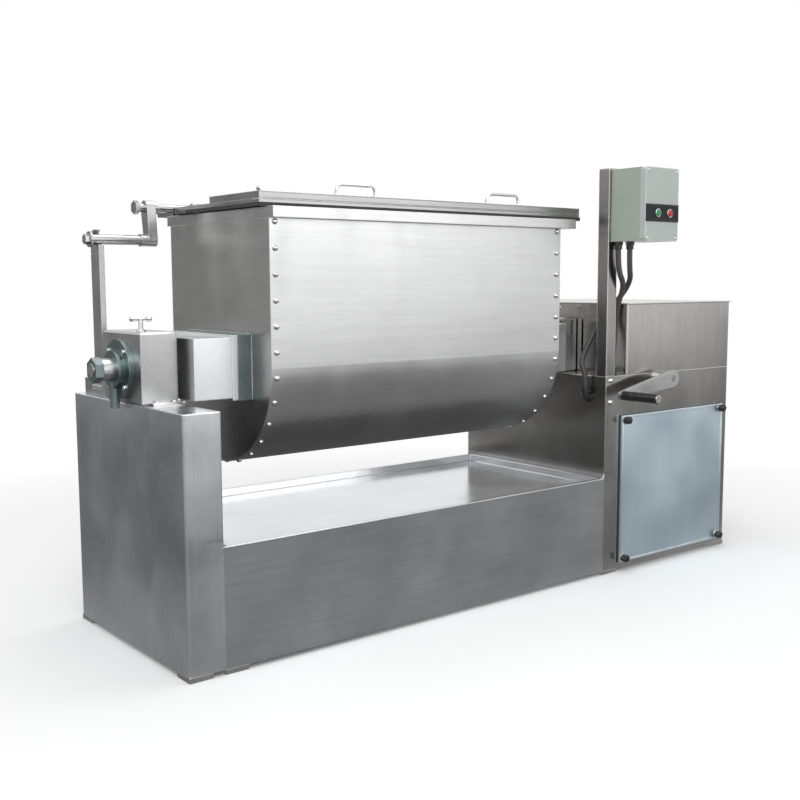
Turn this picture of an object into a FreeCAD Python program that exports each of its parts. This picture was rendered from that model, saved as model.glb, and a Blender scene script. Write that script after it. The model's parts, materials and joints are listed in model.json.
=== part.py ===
import FreeCAD, Part
import math
import os
import Sketcher
from FreeCAD import Placement, Rotation, Vector

# A tilting dough mixer: a U shaped trough hangs by two trunnions between a left pedestal and a
# drive cabinet, over a drip tray. Lengths are millimetres. X runs along the machine to the
# cabinet, Y runs to the back, Z up. Pieces are laid out from the front left corner of the base
# at floor level; the origin is the middle of the front left foot, foot_inset inside that corner.

doc = FreeCAD.newDocument("dough_mixer")
dim = doc.addObject("Spreadsheet::Sheet", "dim")

SIZES = [
    ("base_length", 2000, "base, outside length"),
    ("base_depth", 606, "base, front to back"),
    ("pedestal_height", 604, "top of both pedestals above the floor"),
    ("pedestal_width", 92, "left pedestal, along the machine"),
    ("drive_start", 1385, "left face of the drive pedestal"),
    ("ledge_width", 93, "bearing ledge in front of the gear case"),
    ("case_rise", 216, "pedestal top to the top of the gear case"),
    ("case_lip", 8, "how far the case cover stands out"),
    ("slot_offset", 26, "bearing block to the slot in the case"),
    ("slot_rise", 46, "ledge to the slot in the case"),
    ("slot_width", 9, "slot in the case"),
    ("slot_height", 116, "slot in the case"),
    ("tray_height", 297, "top edge of the tray"),
    ("tray_depth", 22, "how deep the tray lies below its edge"),
    ("tray_edge", 16, "width of the folded tray edge"),
    ("gauge", 3, "sheet of the base"),
    ("base_bend", 7, "outside radius of the folded corners"),
    ("foot_size", 60, "foot plate, square"),
    ("foot_height", 12, "foot plate, thickness"),
    ("foot_inset", 30, "base corner to foot centre"),
    ("axis_rise", 81, "pedestal top to the trunnion axis"),
    ("tank_start", 260, "left end of the tank"),
    ("tank_length", 978, "tank, end to end"),
    ("trough_radius", 249, "outside radius of the trough"),
    ("tank_wall", 3, "sheet of the trough"),
    ("end_plate", 6, "tank end plates"),
    ("rim_rise", 378, "trunnion axis to the top of the rim"),
    ("rim_height", 26, "rim bar, tall"),
    ("rim_width", 18, "rim bar, proud of the trough"),
    ("rim_tail", 45, "rim past the tank at the drive end"),
    ("lid_gap", 2, "rim to lid"),
    ("lid_height", 18, "folded edge of the lid"),
    ("lid_gauge", 2, "sheet of the lid"),
    ("lid_setback", 26, "front of the tank to front of the lid"),
    ("lid_left", 10, "lid past the tank at the left"),
    ("lid_right", 107, "lid past the tank at the drive end"),
    ("hinge_inset", 35, "back of the tank to the lid shaft"),
    ("hinge_sink", 3, "top of the lid down to the lid shaft axis"),
    ("lid_shaft_radius", 11, "lid shaft"),
    ("lid_shaft_end", 110, "tank end to the left end of the lid shaft"),
    ("lid_back", 13, "lid shaft to the back edge of the lid"),
    ("feed_inset", 70, "lid ends to the feed opening"),
    ("feed_border", 36, "flap edges to the feed opening"),
    ("lug_radius", 16, "lid hinge lugs, boss"),
    ("lug_thickness", 22, "lid hinge lugs, along the machine"),
    ("lug_gap", 3, "lid hinge lug to the lid knuckle beside it"),
    ("leaf_length", 30, "lid knuckle leaf, forward of the lid shaft"),
    ("leaf_height", 5, "hinge leaves, thick"),
    ("cover_back", 76, "fixed back strip past the tank"),
    ("flap_depth", 237, "feed flap, front to back"),
    ("flap_height", 16, "feed flap, folded edge"),
    ("flap_pin_radius", 4, "feed flap hinge pin"),
    ("flap_knuckle_radius", 7.5, "feed flap hinge barrel"),
    ("flap_hinge_length", 96, "feed flap hinge, along the machine"),
    ("handle_first", 290, "lid end to the middle of the first handle"),
    ("handle_second", 797, "lid end to the middle of the second handle"),
    ("handle_span", 120, "lid handle, leg to leg"),
    ("handle_rise", 32, "lid handle above the flap"),
    ("handle_bar", 9, "lid handle bar diameter"),
    ("handle_inset", 16, "front of the flap to the handles"),
    ("arm_reach", 80, "tank end to the middle of the lid arm"),
    ("arm_thickness", 24, "lid arm, along the machine"),
    ("arm_width", 38, "lid arm, front to back"),
    ("arm_length", 84, "lid shaft to rest rod"),
    ("rod_back", 12, "lid shaft to rest rod, front to back"),
    ("rod_radius", 13, "rest rod"),
    ("rod_tip", 16, "left end of the rest rod"),
    ("stay_start", 30, "left face of the stay"),
    ("stay_thickness", 14, "stay, along the machine"),
    ("stay_width", 50, "stay, front to back"),
    ("stay_shift", 7, "rest rod to the middle of the stay, front to back"),
    ("hook_depth", 34, "rest rod down to the neck of the hook"),
    ("stay_foot_length", 156, "angle foot of the stay"),
    ("stay_foot_height", 40, "angle foot of the stay"),
    ("stay_foot_reach", 54, "angle foot of the stay, over the pedestal"),
    ("block_depth", 205, "bearing block, front to back"),
    ("block_rise", 170, "bearing block above the pedestal"),
    ("block_chamfer", 5, "bearing block edges"),
    ("wing_stem", 6, "wing screw on the bearing block, stem radius"),
    ("wing_height", 24, "wing screw on the bearing block"),
    ("journal_radius", 45, "hollow trunnion, outside"),
    ("bush_wall", 7, "bearing bush"),
    ("running_gap", 0.08, "radial clearance of a running fit"),
    ("seat_gap", 0.3, "clearance between bodies that pass each other"),
    ("shaft_radius", 27, "mixing shaft"),
    ("box_depth", 316, "trunnion box, front to back"),
    ("box_rise", 156, "trunnion box, tall"),
    ("box_reach", 151, "trunnion box, along the machine"),
    ("box_flange", 53, "part of the trunnion box next to the tank"),
    ("box_step", 5, "step from the flange to the box"),
    ("drive_box_reach", 134, "trunnion box at the drive end"),
    ("flange_radius", 71, "bearing cover"),
    ("flange_thickness", 14, "bearing cover"),
    ("port_radius", 11, "drain under the bearing cover"),
    ("port_reach", 92, "shaft axis down to the end of the drain"),
    ("collar_start", 78, "left end of the shaft past the block"),
    ("collar_radius", 27, "shaft nut"),
    ("paddle_sweep", 238, "paddle tip radius"),
    ("paddle_count", 6, "paddles on the shaft"),
    ("paddle_step", 120, "degrees from one paddle to the next"),
    ("paddle_width", 110, "paddle blade, along its edge"),
    ("paddle_blade", 10, "paddle blade thickness"),
    ("paddle_arm", 16, "paddle arm radius"),
    ("crank_offset", 255, "drive pedestal edge to the crank axis"),
    ("crank_drop", 17, "pedestal top down to the crank axis"),
    ("crank_standoff", 40, "case front to the crank arm"),
    ("crank_length", 238, "crank axis to grip"),
    ("crank_thickness", 12, "crank arm plate"),
    ("crank_hub_radius", 26, "wide end of the crank arm"),
    ("crank_tip_radius", 13, "narrow end of the crank arm"),
    ("crank_droop", 8.8, "degrees the arm hangs below level"),
    ("crank_shaft_radius", 12, "crank shaft"),
    ("grip_length", 122, "crank grip"),
    ("grip_radius", 14, "crank grip"),
    ("wheel_thickness", 34, "tilt worm wheel"),
    ("worm_radius", 20, "tilt worm, outside"),
    ("wheel_teeth", 30, "teeth of the tilt worm wheel"),
    ("tooth_height", 5, "teeth of the tilt worm wheel"),
    ("worm_length", 90, "tilt worm"),
    ("worm_turns", 6, "turns of the tilt worm"),
    ("worm_bracket", 24, "bracket behind the worm"),
    ("pulley_offset", 375, "drive pedestal edge to the middle of the belt"),
    ("pulley_width", 50, "belt pulleys"),
    ("shaft_pulley_radius", 112, "belt pulley on the mixing shaft"),
    ("motor_pulley_radius", 56, "belt pulley on the motor"),
    ("belt_height", 9, "belt, thick"),
    ("motor_drop", 385, "paddle shaft down to the motor"),
    ("motor_radius", 95, "motor frame"),
    ("motor_length", 250, "motor frame"),
    ("motor_shaft_radius", 19, "motor shaft"),
    ("post_size", 39, "control post, square"),
    ("post_rise", 609, "pedestal top to the top of the control post"),
    ("enclosure_width", 148, "control box"),
    ("enclosure_depth", 105, "control box without its cover"),
    ("enclosure_cover", 20, "control box cover"),
    ("enclosure_height", 208, "control box"),
    ("enclosure_rise", 397, "pedestal top to the control box"),
    ("enclosure_corner", 9, "control box corner radius"),
    ("enclosure_offset", 10, "post edge to the control box"),
    ("keypad_height", 49, "dark strip of the control box"),
    ("keypad_rise", 55, "control box bottom to the dark strip"),
    ("keypad_thickness", 2, "dark strip"),
    ("button_radius", 9, "push buttons"),
    ("button_travel", 3, "push buttons"),
    ("access_width", 506, "access cover"),
    ("access_height", 452, "access cover"),
    ("access_bottom", 30, "access cover above the floor"),
    ("access_start", 67, "drive pedestal edge to the access cover"),
    ("access_thickness", 12, "access cover, proud of the front"),
    ("knob_radius", 11, "access cover knobs"),
    ("knob_length", 20, "access cover knobs"),
    ("knob_inset", 13, "access cover edge to its knobs"),
    ("conduit_radius", 8, "cable conduit"),
    ("gland_radius", 13, "cable gland"),
    ("gland_length", 22, "cable gland"),
    ("gland_near_x", 27, "post edge to the cable entry beside the post"),
    ("gland_near_y", 15, "box back to the cable entry beside the post"),
    ("gland_far_x", 53, "post edge to the outer cable entry"),
    ("gland_far_y", 36, "box back to the outer cable entry"),
    ("elbow_reach", 21, "pedestal side to the middle of the elbow"),
    ("elbow_collar", 10, "elbow, ring at its mouth"),
    ("elbow_y", 63, "base front to the elbow"),
    ("elbow_drop", 66, "pedestal top down to the elbow"),
    ("bolt_radius", 7, "hexagon bolt heads"),
    ("bolt_head", 6, "hexagon bolt heads"),
]

for row, (alias, value, note) in enumerate(SIZES, start=1):
    dim.set(f"A{row}", note)
    dim.set(f"B{row}", str(value))
    dim.setAlias(f"B{row}", alias)
doc.recompute()

pieces = {}


def size(alias):
    return float(dim.get(alias))


# Places that several pieces share, written as expressions on the sheet.
AXIS_Y = "(dim.base_depth / 2)"
AXIS_Z = "(dim.pedestal_height + dim.axis_rise)"
TANK_FRONT = f"({AXIS_Y} - dim.trough_radius)"
TANK_BACK = f"({AXIS_Y} + dim.trough_radius)"
TANK_END = "(dim.tank_start + dim.tank_length)"
RIM_TOP = f"({AXIS_Z} + dim.rim_rise)"
CASE_START = "(dim.drive_start + dim.ledge_width)"
CASE_TOP = "(dim.pedestal_height + dim.case_rise)"
BLOCK_FRONT = f"({AXIS_Y} - dim.block_depth / 2)"
BUSH_RADIUS = "(dim.journal_radius + dim.running_gap + dim.bush_wall)"
LID_START = "(dim.tank_start - dim.lid_left)"
LID_LENGTH = "(dim.tank_length + dim.lid_left + dim.lid_right)"
LID_FRONT = f"({TANK_FRONT} + dim.lid_setback)"
LID_BOTTOM = f"({RIM_TOP} + dim.lid_gap)"
LID_TOP = f"({LID_BOTTOM} + dim.lid_height)"
HINGE_Y = f"({TANK_BACK} - dim.hinge_inset)"
HINGE_Z = f"({LID_TOP} - dim.hinge_sink)"
ROD_Y = f"({HINGE_Y} - dim.rod_back)"
CRANK_X = "(dim.drive_start + dim.crank_offset)"
CRANK_Z = "(dim.pedestal_height - dim.crank_drop)"
PULLEY_X = "(dim.drive_start + dim.pulley_offset)"
MOTOR_Z = f"({AXIS_Z} - dim.motor_drop)"
POST_TOP = "(dim.pedestal_height + dim.post_rise)"
BOX_BOTTOM = "(dim.pedestal_height + dim.enclosure_rise)"
ELBOW_Z = "(dim.pedestal_height - dim.elbow_drop)"
ENCLOSURE_START = "(dim.drive_start + dim.enclosure_offset)"
ACCESS_START = "(dim.drive_start + dim.access_start)"


def level(expression):
    """The value of one of the places above, worked out from the sheet."""
    total = 0.0
    sign = 1.0
    for word in expression.replace("(", " ").replace(")", " ").split():
        if word in "+-":
            sign = 1.0 if word == "+" else -1.0
        elif word.startswith("dim."):
            total += sign * size(word[4:])
    return total


def axis_y():
    return size("base_depth") / 2


def place(item, x, y, z):
    """Puts an item at expressions measured from the front left corner of the base."""
    item.setExpression("Placement.Base.x", f"{x} - dim.foot_inset")
    item.setExpression("Placement.Base.y", f"{y} - dim.foot_inset")
    item.setExpression("Placement.Base.z", f"{z}")
    return item


def corner(x, y, z):
    """The same place as numbers."""
    return Vector(x - size("foot_inset"), y - size("foot_inset"), z)


def block(name, x, y, z, length, width, height):
    item = doc.addObject("Part::Box", name)
    item.setExpression("Length", length)
    item.setExpression("Width", width)
    item.setExpression("Height", height)
    return place(item, x, y, z)


TURNS = {
    "x": Rotation(Vector(0, 1, 0), 90),
    "y": Rotation(Vector(1, 0, 0), -90),
    "z": Rotation(),
}


def cylinder(name, along, x, y, z, radius, length):
    item = doc.addObject("Part::Cylinder", name)
    item.Placement = Placement(Vector(), TURNS[along])
    item.setExpression("Radius", radius)
    item.setExpression("Height", length)
    return place(item, x, y, z)


def fused(name, *parts):
    item = doc.addObject("Part::MultiFuse", name)
    item.Shapes = list(parts)
    return item


def cut(name, base, *tools):
    item = doc.addObject("Part::Cut", name)
    item.Base = base
    item.Tool = tools[0] if len(tools) == 1 else fused(name + "_cutters", *tools)
    return item


def keep(node, item):
    item.Label = node
    pieces[node] = item
    return item


def solid(node, shape):
    """A piece whose shape is worked out below from the sheet."""
    item = doc.addObject("Part::Feature", node)
    item.Shape = shape
    return keep(node, item)


def new_body(node, piece=True):
    body = doc.addObject("PartDesign::Body", node)
    return keep(node, body) if piece else body


def new_sketch(body, role, name):
    sketch = body.newObject("Sketcher::SketchObject", name)
    plane = [f for f in body.Origin.OriginFeatures if f.Role == role][0]
    sketch.AttachmentSupport = [(plane, "")]
    sketch.MapMode = "FlatFace"
    return sketch


def line(sketch, a, b):
    return sketch.addGeometry(Part.LineSegment(Vector(*a, 0), Vector(*b, 0)), False)


def bound(sketch, kind, *where):
    """Adds a sized constraint, the last item being its expression."""
    *ends, start, text = where
    index = sketch.addConstraint(Sketcher.Constraint(kind, *ends, start))
    sketch.setExpression(f"Constraints[{index}]", text)


def rectangle(sketch, left, bottom, width, height):
    """A rectangle with its lower left corner at two expressions from the sketch origin."""
    sides = [
        line(sketch, (1, 1), (9, 1)),
        line(sketch, (9, 1), (9, 5)),
        line(sketch, (9, 5), (1, 5)),
        line(sketch, (1, 5), (1, 1)),
    ]
    for near, far in zip(sides, sides[1:] + sides[:1]):
        sketch.addConstraint(Sketcher.Constraint("Coincident", near, 2, far, 1))
    sketch.addConstraint(Sketcher.Constraint("Horizontal", sides[0]))
    sketch.addConstraint(Sketcher.Constraint("Horizontal", sides[2]))
    sketch.addConstraint(Sketcher.Constraint("Vertical", sides[1]))
    sketch.addConstraint(Sketcher.Constraint("Vertical", sides[3]))
    bound(sketch, "DistanceX", sides[0], 1, sides[0], 2, 8.0, width)
    bound(sketch, "DistanceY", sides[1], 1, sides[1], 2, 4.0, height)
    if left == "0" and bottom == "0":
        sketch.addConstraint(Sketcher.Constraint("Coincident", sides[0], 1, -1, 1))
    else:
        bound(sketch, "DistanceX", -1, 1, sides[0], 1, 1.0, left)
        bound(sketch, "DistanceY", -1, 1, sides[0], 1, 1.0, bottom)


def pad(body, sketch, length, back=False, middle=False):
    feature = body.newObject("PartDesign::Pad", sketch.Name + "_pad")
    feature.Profile = sketch
    feature.setExpression("Length", length)
    feature.Reversed = back
    if middle:
        feature.Midplane = True
    return feature


def pocket(body, sketch, length, back=False):
    feature = body.newObject("PartDesign::Pocket", sketch.Name + "_pocket")
    feature.Profile = sketch
    feature.setExpression("Length", length)
    feature.Reversed = back
    return feature


def edges_where(shape, test):
    return [f"Edge{i}" for i, edge in enumerate(shape.Edges, start=1) if test(edge)]


def upright(edge):
    ends = [v.Point for v in edge.Vertexes]
    if len(ends) != 2:
        return False
    run = ends[1] - ends[0]
    return abs(run.x) < 1e-6 and abs(run.y) < 1e-6 and abs(run.z) > 1


def rounded(body, feature, radius, test):
    """Rounds the edges of a body's last feature that pass a test."""
    doc.recompute()
    fillet = body.newObject("PartDesign::Fillet", feature.Name + "_round")
    fillet.Base = (feature, edges_where(feature.Shape, test))
    fillet.setExpression("Radius", radius)
    return fillet


def chamfered(body, feature, chamfer_size, test):
    doc.recompute()
    chamfer = body.newObject("PartDesign::Chamfer", feature.Name + "_chamfer")
    chamfer.Base = (feature, edges_where(feature.Shape, test))
    chamfer.setExpression("Size", chamfer_size)
    return chamfer


def sheet_box(node, x, y, z, length, width, height, wall, bend, test, piece=True):
    """A folded sheet box, open below; the upright corners that pass the test are rounded."""
    body = new_body(node, piece)
    outline = new_sketch(body, "XY_Plane", node + "_outline")
    rectangle(outline, "0", "0", length, width)
    shell = pad(body, outline, height)
    rounded(body, shell, bend, lambda edge: upright(edge) and test(edge))
    hollow = new_sketch(body, "XY_Plane", node + "_hollow")
    rectangle(hollow, wall, wall, f"{length} - 2 * {wall}", f"{width} - 2 * {wall}")
    pocket(body, hollow, f"{height} - {wall}", back=True)
    place(body, x, y, z)
    return body


def at_left(edge):
    return abs(edge.Vertexes[0].Point.x) < 1e-6


def at_right(edge):
    return not at_left(edge)


def floor_plate(name, x, length):
    """The bottom sheet that closes a pedestal."""
    return block(
        name, f"{x} + dim.gauge", "dim.gauge", "dim.foot_height",
        f"{length} - 2 * dim.gauge", "dim.base_depth - 2 * dim.gauge", "dim.gauge",
    )


def hexagon(radius, thickness):
    """A hexagon prism that stands on the XY plane."""
    corners = [
        Vector(radius * math.cos(k * math.pi / 3), radius * math.sin(k * math.pi / 3), 0)
        for k in range(7)
    ]
    return Part.Face(Part.makePolygon(corners)).extrude(Vector(0, 0, thickness))


def turned(shape, direction, where):
    """Stands a shape made along +Z on a place, pointing in a direction."""
    copy = shape.copy()
    copy.Placement = Placement(where, Rotation(Vector(0, 0, 1), direction))
    return copy


# Base


def build_base():
    """Left pedestal, drive pedestal and the tray between them, all folded sheet."""
    base_z = "dim.foot_height"
    rise = "(dim.pedestal_height - dim.foot_height)"
    bend = "dim.base_bend"
    left = sheet_box(
        "left_pedestal_sheet", "0", "0", base_z, "dim.pedestal_width", "dim.base_depth",
        rise, "dim.gauge", bend, at_left, piece=False,
    )
    left_floor = floor_plate("left_floor", "0", "dim.pedestal_width")
    keep("left_pedestal", fused("left_pedestal_shell", left, left_floor))
    drive_length = "(dim.base_length - dim.drive_start)"
    pedestal = sheet_box(
        "drive_pedestal_sheet", "dim.drive_start", "0", base_z, drive_length,
        "dim.base_depth", rise, "dim.gauge", bend, at_right, piece=False,
    )
    drive_floor = floor_plate("drive_floor", "dim.drive_start", drive_length)
    well = block(
        "drive_well", f"{CASE_START} + 2 * dim.knob_inset", "4 * dim.knob_inset",
        "dim.pedestal_height - 2 * dim.gauge",
        f"dim.base_length - {CASE_START} - 4 * dim.knob_inset",
        "dim.base_depth - 8 * dim.knob_inset", "4 * dim.gauge",
    )
    crank_hole = cylinder(
        "crank_hole", "y", CRANK_X, "0 - 1", CRANK_Z,
        "dim.crank_shaft_radius + 2", "2 * dim.gauge",
    )
    shell = fused("drive_pedestal_shell", pedestal, drive_floor)
    keep("drive_pedestal", cut("drive_pedestal_cut", shell, well, crank_hole))
    tray = new_body("drip_tray")
    outline = new_sketch(tray, "XY_Plane", "tray_outline")
    length = "(dim.drive_start - dim.pedestal_width)"
    rectangle(outline, "0", "0", length, "dim.base_depth")
    pad(tray, outline, "dim.tray_height - dim.foot_height")
    below = new_sketch(tray, "XY_Plane", "tray_below")
    rectangle(
        below, "dim.gauge", "dim.gauge",
        f"{length} - 2 * dim.gauge", "dim.base_depth - 2 * dim.gauge",
    )
    pocket(
        tray, below,
        "dim.tray_height - dim.foot_height - dim.tray_depth - dim.gauge", back=True,
    )
    basin = new_sketch(tray, "XY_Plane", "tray_basin")
    basin.AttachmentOffset = Placement(Vector(0, 0, 1), Rotation())
    basin.setExpression(
        "AttachmentOffset.Base.z", "dim.tray_height - dim.foot_height - dim.tray_depth"
    )
    rectangle(
        basin, "dim.gauge", "dim.tray_edge",
        f"{length} - 2 * dim.gauge", "dim.base_depth - 2 * dim.tray_edge",
    )
    pocket(tray, basin, "dim.tray_depth + 1", back=True)
    place(tray, "dim.pedestal_width", "0", base_z)


def build_feet():
    """Foot plates under the four corners and beside the tray."""
    half = size("foot_size") / 2
    inset = size("foot_inset")
    height = size("foot_height")
    plates = []
    for x in (
        inset,
        size("pedestal_width") - inset + size("foot_size"),
        size("drive_start") + inset,
        size("base_length") - inset,
    ):
        for y in (inset, size("base_depth") - inset):
            at = corner(x - half, y - half, 0)
            plates.append(Part.makeBox(2 * half, 2 * half, height, at))
    solid("feet", Part.makeCompound(plates))


def build_case():
    """The gear case on the drive pedestal and its lipped cover."""
    case = sheet_box(
        "gear_case_sheet", CASE_START, "0", "dim.pedestal_height",
        f"(dim.base_length - {CASE_START})", "dim.base_depth",
        "(dim.case_rise - dim.gauge)", "dim.gauge", "dim.base_bend",
        lambda edge: True, piece=False,
    )
    hole = cylinder(
        "journal_hole", "x", f"{CASE_START} - 1", AXIS_Y, AXIS_Z,
        "dim.journal_radius + dim.gauge", "2 * dim.gauge",
    )
    slot = block(
        "case_slot", f"{CASE_START} - 1", f"{BLOCK_FRONT} - dim.slot_offset",
        "dim.pedestal_height + dim.slot_rise",
        "dim.gauge + 2", "dim.slot_width", "dim.slot_height",
    )
    keep("gear_case", cut("gear_case_cut", case, hole, slot))
    body = new_body("gear_case_cover")
    outline = new_sketch(body, "XY_Plane", "cover_outline")
    rectangle(
        outline, "0", "0",
        f"dim.base_length - {CASE_START} + dim.case_lip",
        "dim.base_depth + 2 * dim.case_lip",
    )
    plate = pad(body, outline, "dim.gauge")
    rounded(body, plate, "dim.base_bend", upright)
    place(
        body, f"{CASE_START} - dim.case_lip", "0 - dim.case_lip",
        f"{CASE_TOP} - dim.gauge",
    )


# Bearings


def bored_block(node, x, length):
    """A bearing block with chamfered edges, bored for its bush."""
    body = new_body(node)
    outline = new_sketch(body, "YZ_Plane", node + "_outline")
    rectangle(outline, "0", "0", "dim.block_depth", "dim.block_rise")
    mass = pad(body, outline, length)
    chamfered(body, mass, "dim.block_chamfer", lambda e: not upright(e) and e.Length > 60)
    bore = new_sketch(body, "YZ_Plane", node + "_bore")
    hole = bore.addGeometry(Part.Circle(Vector(9, 9, 0), Vector(0, 0, 1), 5), False)
    bound(bore, "Radius", hole, 5.0, BUSH_RADIUS)
    bound(bore, "DistanceX", -1, 1, hole, 3, 9.0, "dim.block_depth / 2")
    bound(bore, "DistanceY", -1, 1, hole, 3, 9.0, f"{AXIS_Z} - dim.pedestal_height")
    pocket(body, bore, length, back=True)
    place(body, x, BLOCK_FRONT, "dim.pedestal_height")


def build_bearings():
    """Blocks, bushes, the round bearing cover and the grease cups."""
    clearance = "dim.seat_gap"
    bored_block("left_bearing_block", "0", "dim.pedestal_width")
    bored_block(
        "drive_bearing_block", "dim.drive_start + dim.gauge",
        "dim.ledge_width - dim.gauge - 4",
    )
    for node, x, length in (
        ("left_bush", "0", "dim.pedestal_width"),
        ("drive_bush", "dim.drive_start + dim.gauge", "dim.ledge_width - dim.gauge - 4"),
    ):
        ring = cylinder(node + "_outside", "x", x, AXIS_Y, AXIS_Z, BUSH_RADIUS, length)
        bore = cylinder(
            node + "_bore", "x", f"{x} - 1", AXIS_Y, AXIS_Z,
            "dim.journal_radius + dim.running_gap", f"{length} + 2",
        )
        keep(node, cut(node, ring, bore))
    cover = cylinder(
        "cover_disc", "x", "0 - dim.flange_thickness", AXIS_Y, AXIS_Z,
        "dim.flange_radius", "dim.flange_thickness",
    )
    ring = cylinder(
        "cover_ring", "x", "0 - 2 * dim.flange_thickness", AXIS_Y, AXIS_Z,
        "dim.flange_radius * 0.64", "dim.flange_thickness + 1",
    )
    bore = cylinder(
        "cover_bore", "x", "0 - 3 * dim.flange_thickness", AXIS_Y, AXIS_Z,
        f"dim.shaft_radius + {clearance}", "3 * dim.flange_thickness + 1",
    )
    port = cylinder(
        "cover_port", "z", "0 - 1.5 * dim.flange_thickness", AXIS_Y,
        f"{AXIS_Z} - dim.port_reach", "dim.port_radius", "dim.port_reach - dim.shaft_radius",
    )
    mass = fused("cover_mass", cover, ring, port)
    keep("bearing_cover", cut("bearing_cover", mass, bore))
    top = size("pedestal_height") + size("block_rise")
    stem = size("wing_stem")
    height = size("wing_height")
    screws = []
    for x in (size("pedestal_width") / 2, size("drive_start") + size("ledge_width") / 2):
        at = corner(x, axis_y() - size("block_depth") / 4, top)
        wing = Part.makeCylinder(
            stem * 0.8, 4 * stem, at + Vector(-2 * stem, 0, height), Vector(1, 0, 0)
        )
        tips = [
            Part.makeCylinder(
                1.25 * stem, 1.5 * stem, at + Vector(offset * stem, 0, height), Vector(1, 0, 0)
            )
            for offset in (-2.75, 1.25)
        ]
        collar = Part.makeCylinder(1.6 * stem, stem, at)
        screws.append(Part.makeCylinder(stem, height, at).fuse([wing, collar] + tips))
    solid("wing_screws", Part.makeCompound(screws))


# Tank


def build_trough():
    """The U shaped sheet, wrapped round the end plates."""
    body = new_body("trough")
    profile = new_sketch(body, "YZ_Plane", "trough_profile")
    outer, inner, top = 20.0, 18.0, 30.0
    ends = []
    for radius in (outer, inner):
        arc = Part.ArcOfCircle(
            Part.Circle(Vector(0, 0, 0), Vector(0, 0, 1), radius), math.pi, 2 * math.pi
        )
        curve = profile.addGeometry(arc, False)
        left = line(profile, (-radius, top), (-radius, 0))
        right = line(profile, (radius, 0), (radius, top))
        profile.addConstraint(Sketcher.Constraint("Coincident", curve, 3, -1, 1))
        profile.addConstraint(Sketcher.Constraint("Coincident", left, 2, curve, 1))
        profile.addConstraint(Sketcher.Constraint("Coincident", right, 1, curve, 2))
        profile.addConstraint(Sketcher.Constraint("Vertical", left))
        profile.addConstraint(Sketcher.Constraint("Vertical", right))
        profile.addConstraint(Sketcher.Constraint("PointOnObject", curve, 1, -1))
        profile.addConstraint(Sketcher.Constraint("PointOnObject", curve, 2, -1))
        ends.append((curve, left, right))
    for side, point in ((1, 1), (2, 2)):
        edge = line(profile, (-outer if side == 1 else inner, top), (-inner if side == 1 else outer, top))
        first = ends[0][side] if side == 1 else ends[1][side]
        second = ends[1][side] if side == 1 else ends[0][side]
        profile.addConstraint(Sketcher.Constraint("Coincident", edge, 1, first, point))
        profile.addConstraint(Sketcher.Constraint("Coincident", edge, 2, second, point))
        profile.addConstraint(Sketcher.Constraint("Horizontal", edge))
    bound(profile, "Radius", ends[0][0], outer, "dim.trough_radius")
    bound(profile, "Radius", ends[1][0], inner, "dim.trough_radius - dim.tank_wall")
    bound(
        profile, "DistanceY", -1, 1, ends[0][1], 1, top,
        f"{RIM_TOP} - dim.rim_height - {AXIS_Z}",
    )
    bound(
        profile, "DistanceY", -1, 1, ends[0][2], 2, top,
        f"{RIM_TOP} - dim.rim_height - {AXIS_Z}",
    )
    pad(body, profile, "dim.tank_length")
    place(body, "dim.tank_start", AXIS_Y, AXIS_Z)


def end_face(node, x):
    """A D shaped end plate inside the trough, bored for the journal."""
    inside = "(dim.trough_radius - dim.tank_wall)"
    rise = f"({RIM_TOP} - dim.rim_height - {AXIS_Z})"
    round_part = cylinder(
        node + "_round", "x", x, AXIS_Y, AXIS_Z, inside, "dim.end_plate"
    )
    flat_part = block(
        node + "_flat", x, f"{AXIS_Y} - {inside}", AXIS_Z,
        "dim.end_plate", f"2 * {inside}", rise,
    )
    bore = cylinder(
        node + "_bore", "x", f"{x} - 1", AXIS_Y, AXIS_Z,
        "dim.journal_radius", "dim.end_plate + 2",
    )
    keep(node, cut(node, fused(node + "_plate", round_part, flat_part), bore))


def trunnion_box(node, x, reach, step_first):
    """The box that carries a journal, with the slightly larger flange next to the tank."""
    thin = f"({reach} - dim.box_flange)"
    flange_x = f"{x} + {thin}" if step_first else x
    thin_x = x if step_first else f"{x} + dim.box_flange"
    flange = block(
        node + "_flange", flange_x, f"{AXIS_Y} - dim.box_depth / 2",
        f"{AXIS_Z} - dim.box_rise / 2",
        "dim.box_flange", "dim.box_depth", "dim.box_rise",
    )
    thinner = block(
        node + "_neck", thin_x, f"{AXIS_Y} - dim.box_depth / 2 + dim.box_step",
        f"{AXIS_Z} - dim.box_rise / 2 + dim.box_step",
        thin, "dim.box_depth - 2 * dim.box_step", "dim.box_rise - 2 * dim.box_step",
    )
    bore = cylinder(
        node + "_bore", "x", f"{x} - 1", AXIS_Y, AXIS_Z,
        "dim.journal_radius", f"{reach} + 2",
    )
    keep(node, cut(node, fused(node + "_mass", flange, thinner), bore))


def tube(node, x, radius, bore_radius, length):
    outside = cylinder(node + "_outside", "x", x, AXIS_Y, AXIS_Z, radius, length)
    bore = cylinder(
        node + "_inside", "x", f"{x} - 1", AXIS_Y, AXIS_Z,
        bore_radius, f"{length} + 2",
    )
    return keep(node, cut(node, outside, bore))


def build_tank():
    build_trough()
    end_face("left_end_plate", "dim.tank_start")
    end_face("drive_end_plate", f"{TANK_END} - dim.end_plate")
    trunnion_box("left_trunnion_box", "dim.tank_start - dim.box_reach", "dim.box_reach", True)
    trunnion_box("drive_trunnion_box", TANK_END, "dim.drive_box_reach", False)
    bore = "(dim.shaft_radius + dim.running_gap)"
    tube(
        "left_journal", "0 + dim.seat_gap", "dim.journal_radius", bore,
        "dim.tank_start + dim.end_plate - dim.seat_gap",
    )
    tube(
        "drive_journal", f"{TANK_END} - dim.end_plate", "dim.journal_radius", bore,
        f"{CRANK_X} + dim.wheel_thickness / 2 - {TANK_END} + dim.end_plate",
    )


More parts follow.
